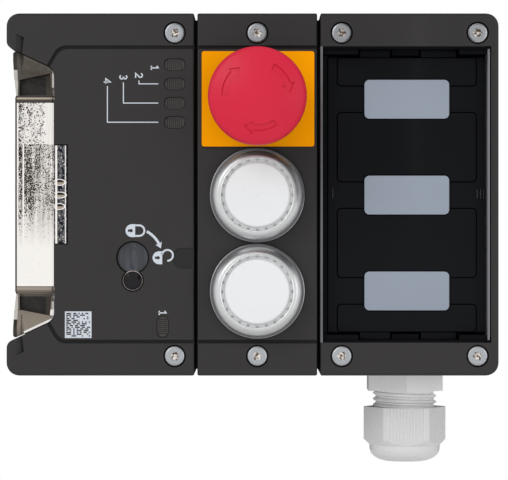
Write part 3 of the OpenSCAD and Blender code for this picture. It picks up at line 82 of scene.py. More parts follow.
def feed(tree, node, inputs):
    """Sets a node's inputs, by name or in their order, to values or to other nodes' outputs."""
    for key, value in inputs.items() if isinstance(inputs, dict) else enumerate(inputs):
        if isinstance(value, bpy.types.NodeSocket):
            tree.links.new(value, node.inputs[key])
        else:
            node.inputs[key].default_value = value


def add(tree, kind, inputs=(), output=0, **settings):
    """One node with its settings and links; gives back one of its outputs."""
    node = tree.nodes.new("ShaderNode" + kind)
    for name, value in settings.items():
        setattr(node, name, value)
    feed(tree, node, inputs)
    return node.outputs[output] if node.outputs else None


def new_finish(name, **constants):
    """A material with one shader, whose constant values are set on its own sockets."""
    material = bpy.data.materials.new(name)
    material.use_nodes = True
    tree = material.node_tree
    shader = tree.nodes["Principled BSDF"]
    feed(tree, shader, {key.replace("_", " "): value for key, value in constants.items()})
    return material, tree, shader


def mesh_piece(name, verts, faces, material, smooth=False):
    """A new object from its points and faces."""
    mesh = bpy.data.meshes.new(name)
    mesh.from_pydata([tuple(v) for v in verts], [], faces)
    mesh.materials.append(material)
    mesh.update()
    for face in mesh.polygons:
        face.use_smooth = smooth
    piece = bpy.data.objects.new(name, mesh)
    bpy.context.scene.collection.objects.link(piece)
    return piece


def lamp(name, place, side, power, aim=(0, 0, 0)):
    """A square soft lamp; place, side and aim are in metres, and the power is in watts."""
    data = bpy.data.lights.new(name, "AREA")
    data.shape = "SQUARE"
    data.size = side
    data.energy = power
    item = bpy.data.objects.new(name, data)
    item.location = place
    item.rotation_euler = (Vector(aim) - Vector(place)).to_track_quat("-Z", "Y").to_euler()
    bpy.context.scene.collection.objects.link(item)
    return item


def white_room():
    """White for the camera and for what shines, softer for the light that falls on the object."""
    world = bpy.data.worlds.new("white_room")
    world.use_nodes = True
    tree = world.node_tree
    tree.nodes.clear()
    ray = add(tree, "LightPath").node.outputs
    seen = add(tree, "Math", (ray["Is Camera Ray"], ray["Is Glossy Ray"]), operation="MAXIMUM")
    seen = add(tree, "Math", (seen, ray["Is Transmission Ray"]), operation="MAXIMUM")
    soft = add(tree, "Background", {"Color": linear("#ffffff"), "Strength": ambient})
    white = add(tree, "Background", {"Color": linear("#ffffff"), "Strength": 1.0})
    add(tree, "OutputWorld", {"Surface": add(tree, "MixShader", (seen, soft, white))})
    bpy.context.scene.world = world


def studio_floor():
    """A pale matt disc that fades out at its rim."""
    material, tree, shader = new_finish("pale_floor", Roughness=0.9, Specular_IOR_Level=0.1)
    place = add(tree, "TexCoord", output="Object")
    distance = add(tree, "VectorMath", (place,), output="Value", operation="LENGTH")
    fade = add(tree, "MapRange", (distance, fade_start, floor_r, 1.0, 0.0))
    grain = add(tree, "TexNoise", {"Vector": place, "Scale": 1 / floor_grain})
    tint = add(tree, "MixRGB", (grain, linear("#f6f6f5"), linear("#f1f1f0")))
    feed(tree, shader, {"Base Color": tint, "Alpha": fade})
    angles = [math.tau * k / floor_steps for k in range(floor_steps)]
    rim = [(floor_r * math.cos(a), floor_r * math.sin(a), 0) for a in angles]
    floor = mesh_piece("studio_floor", rim, [list(range(floor_steps))], material)
    floor.location.z = floor_z


def black_cloth(name, corners):
    """A cloth between four corners in metres, that only shiny surfaces see."""
    material, tree, shader = new_finish("black_cloth", Roughness=1.0, Specular_IOR_Level=0.0)
    weave = add(tree, "TexNoise", {"Scale": 1 / cloth_weave})
    feed(tree, shader, {"Base Color": add(tree, "MixRGB", (weave, linear("#050505"), linear("#0b0b0b")))})
    cloth = mesh_piece(name, corners, [[0, 1, 2, 3]], material)
    cloth.visible_camera = False
    cloth.visible_diffuse = False
    cloth.visible_shadow = False
    cloth.visible_transmission = False


white_room()
studio_floor()
lamp("key_lamp", place=(-0.75, -1.0, 0.75), side=0.7, power=5.6)
lamp("fill_lamp", place=(0.9, -0.9, 0.15), side=0.7, power=2.0)
lamp("top_lamp", place=(0.1, -0.35, 1.1), side=0.6, power=1.2)
low_lamp = lamp("low_lamp", place=(0.1, -1.2, -0.45), side=0.9, power=2.1, aim=(0, 0, -0.05))
low_lamp.visible_glossy = False
black_cloth("back_cloth", [(-1.2, 0.5, -1.0), (1.2, 0.5, -1.0), (1.2, 0.5, 1.2), (-1.2, 0.5, 1.2)])
black_cloth("side_cloth", [(0.055, -0.3, -0.008), (0.055, -0.055, -0.008), (0.055, -0.055, 0.12),
                           (0.055, -0.3, 0.12)])
black_cloth("upper_cloth", [(-0.8, -0.75, 0.55), (0.8, -0.75, 0.55), (0.8, 0.1, 0.45), (-0.8, 0.1, 0.45)])


# Housings. Each module is a base and a cover of glass-filled polyamide, injection moulded in a spark-eroded
# mould and screwed together at the corners. The glass dulls the skin to a dark warm grey without a gloss.
housing_finish = dict(high="#2f2d2d", low="#2a2828", grain=0.55 * MM, depth=0.012 * MM, rough=0.62,
                      Specular_IOR_Level=0.3)
cloud_size = 14 * MM
noise_range = (0.3, 0.7)
edge_round = 0.22 * MM
edge_angle = math.radians(38)
weld_distance = 0.002 * MM
# Where the grooves and counterbores of the face get painted shade: across, up and down, and behind the face.
groove_xs = (-76 * MM, 80 * MM)
groove_zs = (-57 * MM, 57 * MM)
groove_depths = (0.3 * MM, 3 * MM)
# The label opening: where its walls get painted shade, and where its painted highlight lines run.
opening_left = 1.9 * MM
opening_right = 1.4 * MM
opening_half_h = 49.2 * MM
opening_depths = (0.03 * MM, 0.1 * MM)
left_highlight_half_h = 49 * MM
right_highlight_half_h = 48.2 * MM
right_highlight_xs = (0.2 * MM, 0.8 * MM)


def moulded(name, high, low, grain, depth, rough, spread=0.05, **constants):
    """A moulded plastic: two close shades in soft clouds, and the fine grain of the mould in the shine."""
    material, tree, shader = new_finish(name, **constants)
    place = add(tree, "TexCoord", output="Object")
    clouds = add(tree, "TexNoise", {"Vector": place, "Scale": 1 / cloud_size, "Detail": 3.0})
    grit = add(tree, "TexNoise", {"Vector": place, "Scale": 1 / grain, "Detail": 3.0, "Roughness": 0.6})
    share = add(tree, "MixRGB", (0.5, clouds, grit))
    tint = add(tree, "MixRGB", (share, linear(low), linear(high)))
    gloss = add(tree, "MapRange", (grit, *noise_range, rough - spread, rough + spread))
    bump = add(tree, "Bump", {"Height": grit, "Distance": depth, "Strength": 1.0})
    feed(tree, shader, {"Base Color": tint, "Roughness": gloss, "Normal": bump})
    return material


def dress(material, *names):
    """Gives CAD nodes their finish."""
    for name in names:
        mesh = nodes[name].data
        mesh.materials.clear()
        mesh.materials.append(material)


def soften(width, *names):
    """Rounds the moulded edges of CAD nodes so that they catch the light, without touching the meshes."""
    for name in names:
        weld = nodes[name].modifiers.new("weld", "WELD")
        weld.merge_threshold = weld_distance
        bevel = nodes[name].modifiers.new("edge", "BEVEL")
        bevel.width = width
        bevel.segments = 2
        bevel.limit_method = "ANGLE"
        bevel.angle_limit = edge_angle
        bevel.harden_normals = True
        bevel.miter_outer = "MITER_ARC"


def times(tree, first, *others):
    """Masks and numbers multiplied, so that the result shows only where all the masks do."""
    for other in others:
        first = add(tree, "Math", (first, other), operation="MULTIPLY")
    return first


def band(tree, value, low, high, soft=0.05 * MM):
    """A mask that is 1 between two values and 0 outside them."""
    start = add(tree, "MapRange", (value, low - soft, low + soft))
    return times(tree, start, add(tree, "MapRange", (value, high + soft, high - soft)))


def layered(tree, tint, *layers):
    """Shades laid over the first one in turn; each layer is a mask with a hex code or an output."""
    tint = linear(tint) if isinstance(tint, str) else tint
    for mask, over in layers:
        tint = add(tree, "MixRGB", (mask, tint, linear(over) if isinstance(over, str) else over))
    return tint


def paint_over(material, *layers):
    """Lays shades over what a finish shows so far."""
    tree = material.node_tree
    colour = tree.nodes["Principled BSDF"].inputs["Base Color"]
    tree.links.new(layered(tree, colour.links[0].from_socket, *layers), colour)


def painted_recess_shade(material):
    """The grooves and counterbores of the face get painted shade: they are painted nearly black."""
    tree = material.node_tree
    x, y, z = add(tree, "SeparateXYZ", (add(tree, "TexCoord", output="Object"),)).node.outputs
    inner = times(tree, band(tree, x, *groove_xs), band(tree, z, *groove_zs))
    deep = times(tree, inner, band(tree, y, *[front_y + depth for depth in groove_depths]))
    paint_over(material, (deep, "#0d0c0c"))


def painted_opening_shade(material):
    """Painted shade, black and less shiny, on the opening's walls and bevels; a painted highlight line at
    each side.
    """
    tree = material.node_tree
    x, y, z = add(tree, "SeparateXYZ", (add(tree, "TexCoord", output="Object"),)).node.outputs
    low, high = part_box("label_panel")
    left, right = low.x - opening_left, high.x + opening_right
    left_highlight = times(tree, add(tree, "MapRange", (x, left + 0.05 * MM, left - 0.05 * MM)),
                      band(tree, z, -left_highlight_half_h, left_highlight_half_h))
    inside = times(tree, add(tree, "MapRange", (x, left - 0.1 * MM, left)),
                   add(tree, "MapRange", (y, *[front_y + depth for depth in opening_depths])),
                   band(tree, z, -opening_half_h, opening_half_h),
                   add(tree, "MapRange", (x, right + 0.1 * MM, right)))
    right_highlight = times(tree, band(tree, x, *[high.x + shift for shift in right_highlight_xs]),
                       band(tree, z, -right_highlight_half_h, right_highlight_half_h))
    wall = layered(tree, "#0d0e11", (right_highlight, "#95959a"))
    paint_over(material, (inside, wall), (left_highlight, "#6c6e72"))
    shine = add(tree, "MapRange", {"Value": inside, "To Min": 0.3, "To Max": 0.06})
    feed(tree, tree.nodes["Principled BSDF"], {"Specular IOR Level": shine})


polyamide = moulded("glass_filled_polyamide", **housing_finish)
polyamide_painted_opening = moulded("glass_filled_polyamide_painted_opening", **housing_finish)
# Painted shade: the grooves and counterbores of the housing faces are painted nearly black.
painted_recess_shade(polyamide)
painted_recess_shade(polyamide_painted_opening)
# Painted shade in the bus cover's label opening, with painted highlight lines along its sides.
painted_opening_shade(polyamide_painted_opening)
dress(polyamide, "lock_base", "lock_cover", "control_base", "control_cover", "bus_base")
dress(polyamide_painted_opening, "bus_cover")
soften(edge_round, "lock_cover", "control_cover")


# Seals. A black EPDM profile lies in each joint between two modules and a cord under each cover, both
# vulcanised in a mould and squeezed when the screws are tightened. The rubber is nearly black, with fine
# pores and hardly any sheen.
rubber = moulded("black_epdm_rubber", "#0a0a0a", "#060606", 0.4 * MM, 0.008 * MM, rough=0.8,
                 Specular_IOR_Level=0.08)
dress(rubber, "joint_seals", "lock_cover_seal", "control_cover_seal", "bus_cover_seal", "release_seal_ring",
      "button_gaskets")


# Cover screws. Six-lobe pan screws of stainless steel, cold headed and tumbled, eight in all, sunk in their
# counterbores. Tumbling leaves a soft grey skin without a direction; the driver recess is painted in blots of
# warm brown shade and near-white highlight.
screw_recess = 1.2 * MM
metal_cloud = 3 * MM
scratch_depth = 0.004 * MM


def turned_metal(name, high, low, rough, scratch, spread=0.08):
    """A bare metal whose shade and shine change in small clouds, the marks of tumbling or turning."""
    material, tree, shader = new_finish(name, Metallic=1.0)
    place = add(tree, "TexCoord", output="Object")
    clouds = add(tree, "TexNoise", {"Vector": place, "Scale": 1 / metal_cloud, "Detail": 4.0})
    marks = add(tree, "TexNoise", {"Vector": place, "Scale": 1 / scratch, "Detail": 2.0})
    tint = add(tree, "MixRGB", (clouds, linear(low), linear(high)))
    gloss = add(tree, "MapRange", (marks, *noise_range, rough - spread, rough + spread))
    bump = add(tree, "Bump", {"Height": marks, "Distance": scratch_depth, "Strength": 1.0})
    feed(tree, shader, {"Base Color": tint, "Roughness": gloss, "Normal": bump})
    return material


def paint_light_and_shade_below(material, depth, low, high, grain):
    """Paints what lies deeper than this behind the front face in two shades of its own, as painted light and
    shade.
    """
    tree = material.node_tree
    place = add(tree, "TexCoord", output="Object")
    y = add(tree, "SeparateXYZ", (place,), output="Y")
    blots = add(tree, "TexNoise", {"Vector": place, "Scale": 1 / grain, "Detail": 2.0})
    below = layered(tree, low, (add(tree, "MapRange", (blots, 0.42, 0.58)), high))
    deep = add(tree, "MapRange", (y, front_y + depth, front_y + depth + 0.1 * MM))
    paint_over(material, (deep, below))


stainless = turned_metal("tumbled_stainless_steel", "#b3b6ba", "#a4a7ab", rough=0.46, scratch=0.4 * MM)
# Painted shade and highlight: the driver recess in blots of dark warm brown and near white.
paint_light_and_shade_below(stainless, screw_recess, "#6d5a4c", "#fdf8f2", 0.9 * MM)
dress(stainless, "cover_screws")


# Tongue guide. A zinc die casting with a plate, two ramps, deep core pockets and a mouth for the tongue,
# nickel plated and tumbled. The plating is bright, and the casting skin under it breaks the shine up. The
# plate has painted shade at its sides, the boss a painted reflection, and the ends painted light and shade.
nickel_hex = "#f5f2ee"
plate_xs = (-78.8 * MM, -65.75 * MM)
plate_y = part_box("tongue_guide")[0].y + 2 * MM
end_z = 30.4 * MM

# Places on the guide. A pair goes from where its mask is 0 to where it is 1. The pairs of plate_xs, boss_rims
# and everything called line or sliver go from side to side instead.
# Where painted shade runs down each side of the plate as a dark line.
left_shade_xs = (plate_xs[0] + 0.65 * MM, plate_xs[0] + 0.55 * MM)
right_shade_xs = (plate_xs[1] - 0.25 * MM, plate_xs[1] - 0.2 * MM)
# Where a painted highlight runs on the front of the rim at the lower end.
rim_highlight_front = (plate_y - 0.7 * MM, plate_y - 0.9 * MM)
rim_highlight_top = (-1 * MM, -2 * MM)
rim_highlight_end = (-38 * MM, -38.2 * MM)

# The wear on the plate: a shallow field that fades downwards, two strips above it, and what stays bright.
field_top = 16.56 * MM
field_fade = (-18.0 * MM, -2.0 * MM)
field_wear = 0.66
rubbed_strip = (-72.6 * MM, -73.8 * MM)
rubbed_wear = 0.3
upper_right_strip = (-68.2 * MM, -69.3 * MM)
upper_right_wear = 0.6
upper_left_strip = (-75.6 * MM, -77.0 * MM)
upper_left_wear = 0.3
streak_wear = 0.9
patch_wear = 0.7
speck_limit = 0.74
bright_line = (-76.3 * MM, -75.8 * MM)
bright_edge = (-77.6 * MM, -77.7 * MM)
speck_size = 0.42 * MM
streak_size = 0.9 * MM
patch_size = 3 * MM
skin_grain = 0.9 * MM

# The boss: its left edge, its two bright rims, and the height and half width of each groove.
boss_x = -65.55 * MM
boss_front = (plate_y - 0.5 * MM, plate_y - 1.2 * MM)
boss_rims = [(boss_x + 0.25 * MM, boss_x + 0.9 * MM), (boss_x + 3.45 * MM, boss_x + 3.75 * MM)]
boss_grooves = [(4.0 * MM, 1.6 * MM), (-0.2 * MM, 1.9 * MM), (-4.0 * MM, 1.5 * MM)]
groove_x = -63.9 * MM
groove_half_h = 0.85 * MM
# The sizes of the painted reflection's mottled shapes and bright chips.
reflection_shape_size = 1.5 * MM
reflection_chip_size = 0.6 * MM

# The ends: the ledges from one height to the next, in millimetres, as bands painted lighter and darker for
# light and shade, and the places of the other painted shade and highlights.
ledges = [
    (30.4, 31.55, "#322a23"), (31.55, 32.2, "#a89b8b"), (32.2, 32.75, "#2a241e"), (32.75, 33.35, "#64584b"),
    (-30.65, -30.4, "#2a241e"), (-31.65, -30.65, "#968c80"), (-32.55, -31.65, "#6a6056"),
    (-33.95, -32.55, "#8a8074")]
pocket_depths = (plate_y + 4.5 * MM, plate_y + 7 * MM)
lit_pocket_xs = (-69.4 * MM, -68.9 * MM)
ramp_line_xs = (-76.95 * MM, -76.7 * MM)
ramp_line_zs = [(39.9 * MM, 46.4 * MM), (-46.6 * MM, -39.9 * MM)]
outer_side_xs = (-78.2 * MM, -78.3 * MM)
inner_side_xs = (-66.45 * MM, -66.3 * MM)
sliver_zs = (33.0 * MM, 41.5 * MM)
ramp_cloud_size = 2.6 * MM
pocket_mottle_size = 1.3 * MM


def worn_plate(tree, place, x, z):
    """Speckles and streaks on the plate, densest at the top of the field and gone at its lower end."""
    drawn = add(tree, "Mapping", {"Vector": place, "Scale": (1.0, 1.0, 0.06)})
    grain = add(tree, "TexNoise", {"Vector": place, "Scale": 1 / speck_size, "Detail": 2.0, "Roughness": 0.5})
    lines = add(tree, "TexNoise", {
        "Vector": drawn, "Scale": 1 / streak_size, "Detail": 2.0, "Roughness": 0.6})
    patches = add(tree, "TexNoise", {
        "Vector": place, "Scale": 1 / patch_size, "Detail": 2.0, "Roughness": 0.5})
    above = add(tree, "MapRange", (z, field_top, field_top + 0.1 * MM))
    below = add(tree, "Math", (1.0, above), operation="SUBTRACT")
    field = times(tree, add(tree, "MapRange", (z, *field_fade)), below)

    rubbed = times(tree, add(tree, "MapRange", (x, *rubbed_strip)), rubbed_wear)
    rubbed = add(tree, "Math", (field_wear, rubbed), operation="ADD")
    upper_wear = add(tree, "Math", (
        times(tree, add(tree, "MapRange", (x, *upper_right_strip)), upper_right_wear),
        times(tree, add(tree, "MapRange", (x, *upper_left_strip)), upper_left_wear)), operation="ADD")
    streaked = times(tree, add(tree, "Math", (lines, 0.5), operation="SUBTRACT"), field, streak_wear)
    patched = times(tree, add(tree, "Math", (patches, 0.5), operation="SUBTRACT"),
                    add(tree, "Math", (field, above), operation="MAXIMUM"), patch_wear)
    wear = times(tree, field, rubbed)
    for more in (times(tree, above, upper_wear), streaked, patched):
        wear = add(tree, "Math", (wear, more), operation="ADD")

    bright = add(tree, "Math", (
        times(tree, band(tree, x, *bright_line), below), add(tree, "MapRange", (x, *bright_edge))),
        operation="MAXIMUM")
    worn = add(tree, "Math", (1.0, bright), operation="SUBTRACT")
    limit = add(tree, "Math", (speck_limit, times(tree, wear, worn, 0.3)), operation="SUBTRACT")
    specks = add(tree, "Math", (grain, limit), operation="SUBTRACT")
    veil = add(tree, "Math", (field, times(tree, above, 0.25)), operation="ADD")
    veil = times(tree, add(tree, "MapRange", (lines, 0.25, 0.6)), veil, worn, 0.8)
    specks = add(tree, "MapRange", (specks, -0.03, 0.05))
    return layered(tree, nickel_hex, (veil, "#a8a199"), (specks, "#2b2621"))


def boss_painted_reflection(tree, place, x, z):
    """Painted reflection on the flush boss: the dark room in mottled shapes and bright chips inside bright
    rims;
    each of its three grooves has a painted highlight round it and painted shade on its upper half.
    """
    shapes = add(tree, "TexNoise", {
        "Vector": place, "Scale": 1 / reflection_shape_size, "Detail": 3.0, "Roughness": 0.6})
    chips = add(tree, "TexNoise", {
        "Vector": place, "Scale": 1 / reflection_chip_size, "Detail": 2.0, "Roughness": 0.6})
    tint = layered(tree, "#23262e", (add(tree, "MapRange", (shapes, 0.46, 0.58)), "#6b6a6c"),
                   (add(tree, "MapRange", (chips, 0.6, 0.66)), "#e6e3df"))
    for groove_z, half_w in boss_grooves:
        centred = add(tree, "Mapping", {
            "Vector": place, "Scale": (1 / half_w, 0.0, 1 / groove_half_h),
            "Location": (-groove_x / half_w, 0.0, -groove_z / groove_half_h)})
        reach = add(tree, "VectorMath", (centred,), output="Value", operation="LENGTH")
        shaded = add(tree, "MapRange", (z, groove_z, groove_z + 0.15 * MM))
        groove_light_and_shade = layered(tree, "#a89c8f", (shaded, "#201c18"))
        tint = layered(tree, tint, (add(tree, "MapRange", (reach, 1.35, 1.25)), "#f2efec"),
                       (add(tree, "MapRange", (reach, 1.05, 0.95)), groove_light_and_shade))
    rims = [band(tree, x, *rim) for rim in boss_rims]
    return layered(tree, tint, (add(tree, "Math", rims, operation="MAXIMUM"), nickel_hex))


def ends_painted_light_and_shade(tree, place, x, y, z):
    """Brown, dull ends in painted light and shade: the upper end darker, the pockets nearly black with a lit
    side, bands on the ledges, dark lines down the ramps, a darker outer side and bright slivers at the sides.
    """
    clouds = add(tree, "TexNoise", {
        "Vector": place, "Scale": 1 / ramp_cloud_size, "Detail": 3.0, "Roughness": 0.6})
    mottle = add(tree, "TexNoise", {
        "Vector": place, "Scale": 1 / pocket_mottle_size, "Detail": 3.0, "Roughness": 0.6})
    # Painted shade: the upper end darker than the lower, and the pockets nearly black with a lit side painted
    # in.
    upper = add(tree, "MapRange", (z, -1 * MM, 1 * MM))
    deep = add(tree, "MapRange", (y, *pocket_depths))
    pocket = layered(tree, "#191612", (add(tree, "MapRange", (mottle, 0.45, 0.6)), "#3b362f"))
    lit_pocket_part = times(tree, deep, add(tree, "MapRange", (x, *lit_pocket_xs)))
    tint = layered(tree, "#857b70", (upper, "#3f3930"),
                   (times(tree, add(tree, "MapRange", (clouds, 0.3, 0.8)), 0.25), "#8d8377"),
                   (deep, pocket), (lit_pocket_part, "#62594e"))
    # Bands of painted light and shade along the ledges.
    for low, high, code in ledges:
        tint = layered(tree, tint, (band(tree, z, low * MM, high * MM), code))
    for reach in ramp_line_zs:
        line = times(tree, band(tree, x, *ramp_line_xs), band(tree, z, *reach))
        tint = layered(tree, tint, (line, "#1e1a16"))
    # Darker at the outer side, and painted highlights as bright slivers at both sides.
    outer = add(tree, "MapRange", (x, *outer_side_xs))
    sides = add(tree, "Math", (outer, add(tree, "MapRange", (x, *inner_side_xs))), operation="MAXIMUM")
    slivers = times(tree, sides, band(tree, add(tree, "Math", (z,), operation="ABSOLUTE"), *sliver_zs))
    return layered(tree, tint, (outer, "#241e19"), (slivers, "#c4c0bb"))


def nickel_plating():
    """Bright on the plate, speckled where worn, with painted shade at its sides and a painted reflection on
    the boss;
    brown, dull and in painted light and shade on the ends.
    """
    material, tree, shader = new_finish("nickel_plated_zinc")
    place = add(tree, "TexCoord", output="Object")
    x, y, z = add(tree, "SeparateXYZ", (place,)).node.outputs
    normal_z = add(tree, "SeparateXYZ", (add(tree, "NewGeometry", output="Normal"),), output="Z")

    on_boss = times(tree, add(tree, "MapRange", (x, boss_x - 0.1 * MM, boss_x)),
                    add(tree, "MapRange", (y, *boss_front)))
    off_boss = add(tree, "Math", (1.0, on_boss), operation="SUBTRACT")
    # Painted shade down both sides of the plate, left off where the boss stands.
    right_side_shade = times(tree, add(tree, "MapRange", (x, *right_shade_xs)), off_boss)
    side_shade = add(tree, "Math", (add(tree, "MapRange", (x, *left_shade_xs)), right_side_shade), operation="MAXIMUM")
    plate = layered(tree, worn_plate(tree, place, x, z), (on_boss, boss_painted_reflection(tree, place, x, z)),
                    (side_shade, "#1d1611"))

    height = add(tree, "Math", (z,), operation="ABSOLUTE")
    ends = add(tree, "Math", (height, end_z), operation="GREATER_THAN")
    upright = add(tree, "Math", (normal_z,), operation="ABSOLUTE")
    # Painted highlight: a bright band on the front faces of the rim at the lower end.
    rim = times(tree, add(tree, "MapRange", (y, *rim_highlight_front)), add(tree, "MapRange", (z, *rim_highlight_top)),
                add(tree, "Math", (upright, 0.3), operation="LESS_THAN"),
                add(tree, "MapRange", (z, *rim_highlight_end)))
    dull = layered(tree, ends_painted_light_and_shade(tree, place, x, y, z), (rim, "#f2efec"))

    covered = add(tree, "Math", (ends, side_shade), operation="MAXIMUM")
    metal = add(tree, "Math", (1.0, covered), operation="SUBTRACT")
    skin = add(tree, "TexNoise", {"Vector": place, "Scale": 1 / skin_grain, "Detail": 3.0, "Roughness": 0.6})
    feed(tree, shader, {
        "Base Color": layered(tree, plate, (ends, dull)),
        "Metallic": metal,
        "Roughness": add(tree, "MapRange", {"Value": metal, "To Min": 0.45, "To Max": 0.2}),
        "Normal": add(tree, "Bump", {"Height": skin, "Distance": 0.006 * MM, "Strength": 1.0})})
    return material


dress(nickel_plating(), "tongue_guide")


# Plain steel inside. The screws of the guide and of the joints, the lever's pin, the solenoid frame with its
# plunger and the release clip are zinc plated and look cool and bluish. The lever is hardened steel, ground
# to a warmer grey with more shine, and the springs are drawn wire of an even grey.
zinc = turned_metal("blue_zinc_plating", "#c3c8cd", "#a9adb2", rough=0.34, scratch=0.5 * MM)
hardened = turned_metal("ground_hardened_steel", "#b2b1ae", "#96958f", rough=0.28, scratch=0.25 * MM)
wire = turned_metal("drawn_spring_wire", "#a8a8a6", "#8c8c8a", rough=0.32, scratch=0.3 * MM)
dress(zinc, "guide_screws", "joint_screws", "lever_pin", "solenoid_frame", "solenoid_plunger", "release_clip")
dress(hardened, "locking_lever")
dress(wire, "plunger_spring", "button_upper_spring", "button_lower_spring")


# Light guides. Two dark polycarbonate inserts with moulded ribs carry the light of the board's lamps to the
# face, one with four windows and one with the slot window. Unlit they are a smoky grey with a soft gloss.
rib_top = 0.9 * MM

smoked = moulded("smoked_polycarbonate", "#474543", "#3f3d3c", 0.5 * MM, 0.006 * MM, rough=0.34,
                 Specular_IOR_Level=0.3)
# Painted shade: below the rib tops the grooves are painted nearly black, so the ribs show.
paint_light_and_shade_below(smoked, rib_top, "#191817", "#1f1e1d", 0.5 * MM)
dress(smoked, "indicator_light_guide", "slot_light_guide")


# Auxiliary release. A moulded rotor with a driver slot opens the lock by hand, and a small domed screw of
# gloss black plastic holds it. The rotor is slate grey, polished by the mould, with painted highlights
# running down it and its slot painted lighter against its shade. The screw has a painted highlight ring, and
# the cover is painted black round both as shade.
slot_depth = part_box("release_rotor")[0].y - front_y + 0.3 * MM
sharp = 0.05 * MM
gap_depth = 3 * MM


def painted_highlight_streaks(material, code, width):
    """Painted highlights: soft upright streaks of a lighter shade over the polished face."""
    tree = material.node_tree
    place = add(tree, "TexCoord", output="Object")
    drawn = add(tree, "Mapping", {"Vector": place, "Scale": (1.0, 1.0, 0.12)})
    lights = add(tree, "TexNoise", {"Vector": drawn, "Scale": 1 / width, "Detail": 1.0})
    paint_over(material, (add(tree, "MapRange", (lights, 0.5, 0.7)), code))


def reach_from(tree, name):
    """How far a point lies from the axis of a round node seen along Y, and that node's radius."""
    low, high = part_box(name)
    centred = add(tree, "Mapping", {
        "Vector": add(tree, "TexCoord", output="Object"), "Scale": (1.0, 0.0, 1.0),
        "Location": (-(low.x + high.x) / 2, 0.0, -(low.z + high.z) / 2)})
    return add(tree, "VectorMath", (centred,), output="Value", operation="LENGTH"), (high.x - low.x) / 2


def painted_ring_highlight(material, name, width, code):
    """A painted highlight: a lighter ring at the rounded edge, of this width."""
    tree = material.node_tree
    distance, radius = reach_from(tree, name)
    paint_over(material, (add(tree, "MapRange", (distance, radius - width - sharp, radius - width)), code))


def painted_gap_shade(material, name, width):
    """Painted shade: the cover's face and bore are painted black round a piece, up to the rounded edge of the
    bore.
    """
    tree = material.node_tree
    distance, radius = reach_from(tree, name)
    y = add(tree, "SeparateXYZ", (add(tree, "TexCoord", output="Object"),), output="Y")
    gap = times(tree, add(tree, "MapRange", (distance, radius + width + sharp, radius + width)),
                add(tree, "MapRange", (y, front_y + gap_depth, front_y + gap_depth - 2 * sharp)))
    paint_over(material, (gap, "#010101"))


slate = moulded("polished_slate_acetal", "#33363d", "#292c32", 1.6 * MM, 0.02 * MM, rough=0.36,
                Specular_IOR_Level=0.5)
jet = moulded("gloss_black_plastic", "#17171a", "#111114", 0.8 * MM, 0.004 * MM, rough=0.12, spread=0.03,
              Specular_IOR_Level=0.2)
painted_highlight_streaks(slate, "#4a4e58", 2.4 * MM)
# Painted light: the slot is painted lighter than the face, against its shade.
paint_light_and_shade_below(slate, slot_depth, "#5a5e68", "#52565f", 0.6 * MM)
# Painted highlight: a lighter ring round the edge of the domed screw.
painted_ring_highlight(jet, "release_lock_screw", 0.2 * MM, "#b3aaa2")
# Painted shade: the cover is painted black round the rotor and the domed screw.
painted_gap_shade(polyamide, "release_rotor", 0.5 * MM)
painted_gap_shade(polyamide, "release_lock_screw", 0.45 * MM)
dress(slate, "release_rotor")
dress(jet, "release_lock_screw")


# Electrics. The solenoid's winding is enamelled copper under tape, the boards are glass epoxy, and the reader
# head, the contact blocks and the terminals are moulded polyamide. The black mouldings have a soft sheen, and
# the terminals are a plain bright green.
wire_pitch = 0.5 * MM
track_pitch = 4 * MM


def copper_winding():
    """Turns of wire 0.5 mm apart, drawn a little coarser than real ones so that they show."""
    material, tree, shader = new_finish("enamelled_copper_winding", Metallic=1.0, Roughness=0.35)
    turns = add(tree, "TexWave", {
        "Vector": add(tree, "TexCoord", output="Object"), "Scale": 1 / wire_pitch / math.tau * 2,
        "Distortion": 0.3}, output="Fac", wave_type="BANDS", bands_direction="Z")
    feed(tree, shader, {
        "Base Color": add(tree, "MixRGB", (turns, linear("#6b3517"), linear("#b8663a"))),
        "Normal": add(tree, "Bump", {"Height": turns, "Distance": 0.1 * MM})})
    return material


def solder_resist():
    """Green lacquer, a shade lighter where a copper track runs under it."""
    material, tree, shader = new_finish("green_solder_resist", Roughness=0.32)
    turned = add(tree, "Mapping", {
        "Vector": add(tree, "TexCoord", output="Object"), "Rotation": (math.pi / 2, 0, 0)})
    tracks = add(tree, "TexBrick", {
        "Vector": turned, "Scale": 1 / track_pitch, "Mortar Size": 0.05, "Color1": linear("#1d4d2b"),
        "Color2": linear("#1a4727"), "Mortar": linear("#3c7d48")}, output="Color")
    feed(tree, shader, {"Base Color": tracks})
    return material


black_moulding = moulded("black_polyamide", "#1c1c1d", "#161617", 0.6 * MM, 0.01 * MM, rough=0.5,
                         Specular_IOR_Level=0.4)
terminal = moulded("green_terminal_polyamide", "#3c7a4c", "#346d43", 0.5 * MM, 0.006 * MM, rough=0.45)
dress(copper_winding(), "solenoid_coil")
dress(solder_resist(), "lock_board", "control_board", "bus_board")
dress(terminal, "terminal_block")
dress(black_moulding, "reader_head", "joint_connectors", "estop_collar", "estop_nut", "estop_contact_block",
      "button_upper_nut", "button_upper_block", "button_lower_nut", "button_lower_block")


# Emergency stop. A red mushroom head of moulded polyamide sits on a white acetal stem in a black collar, and
# an orange plate behind it gives the warning field. The head is satin, and the plate matt with an even dye.
red = moulded("satin_red_polyamide", "#d3223f", "#cd1d39", 0.6 * MM, 0.006 * MM, rough=0.42,
              Specular_IOR_Level=0.25)
orange = moulded("dyed_orange_plate", "#ffa500", "#ff9f00", 0.5 * MM, 0.005 * MM, rough=0.5,
                 Specular_IOR_Level=0.03)
white_stem = moulded("white_acetal", "#e4e4e2", "#dcdcda", 0.6 * MM, 0.005 * MM, rough=0.4)
dress(red, "estop_head")
dress(orange, "estop_plate")
dress(white_stem, "estop_stem")


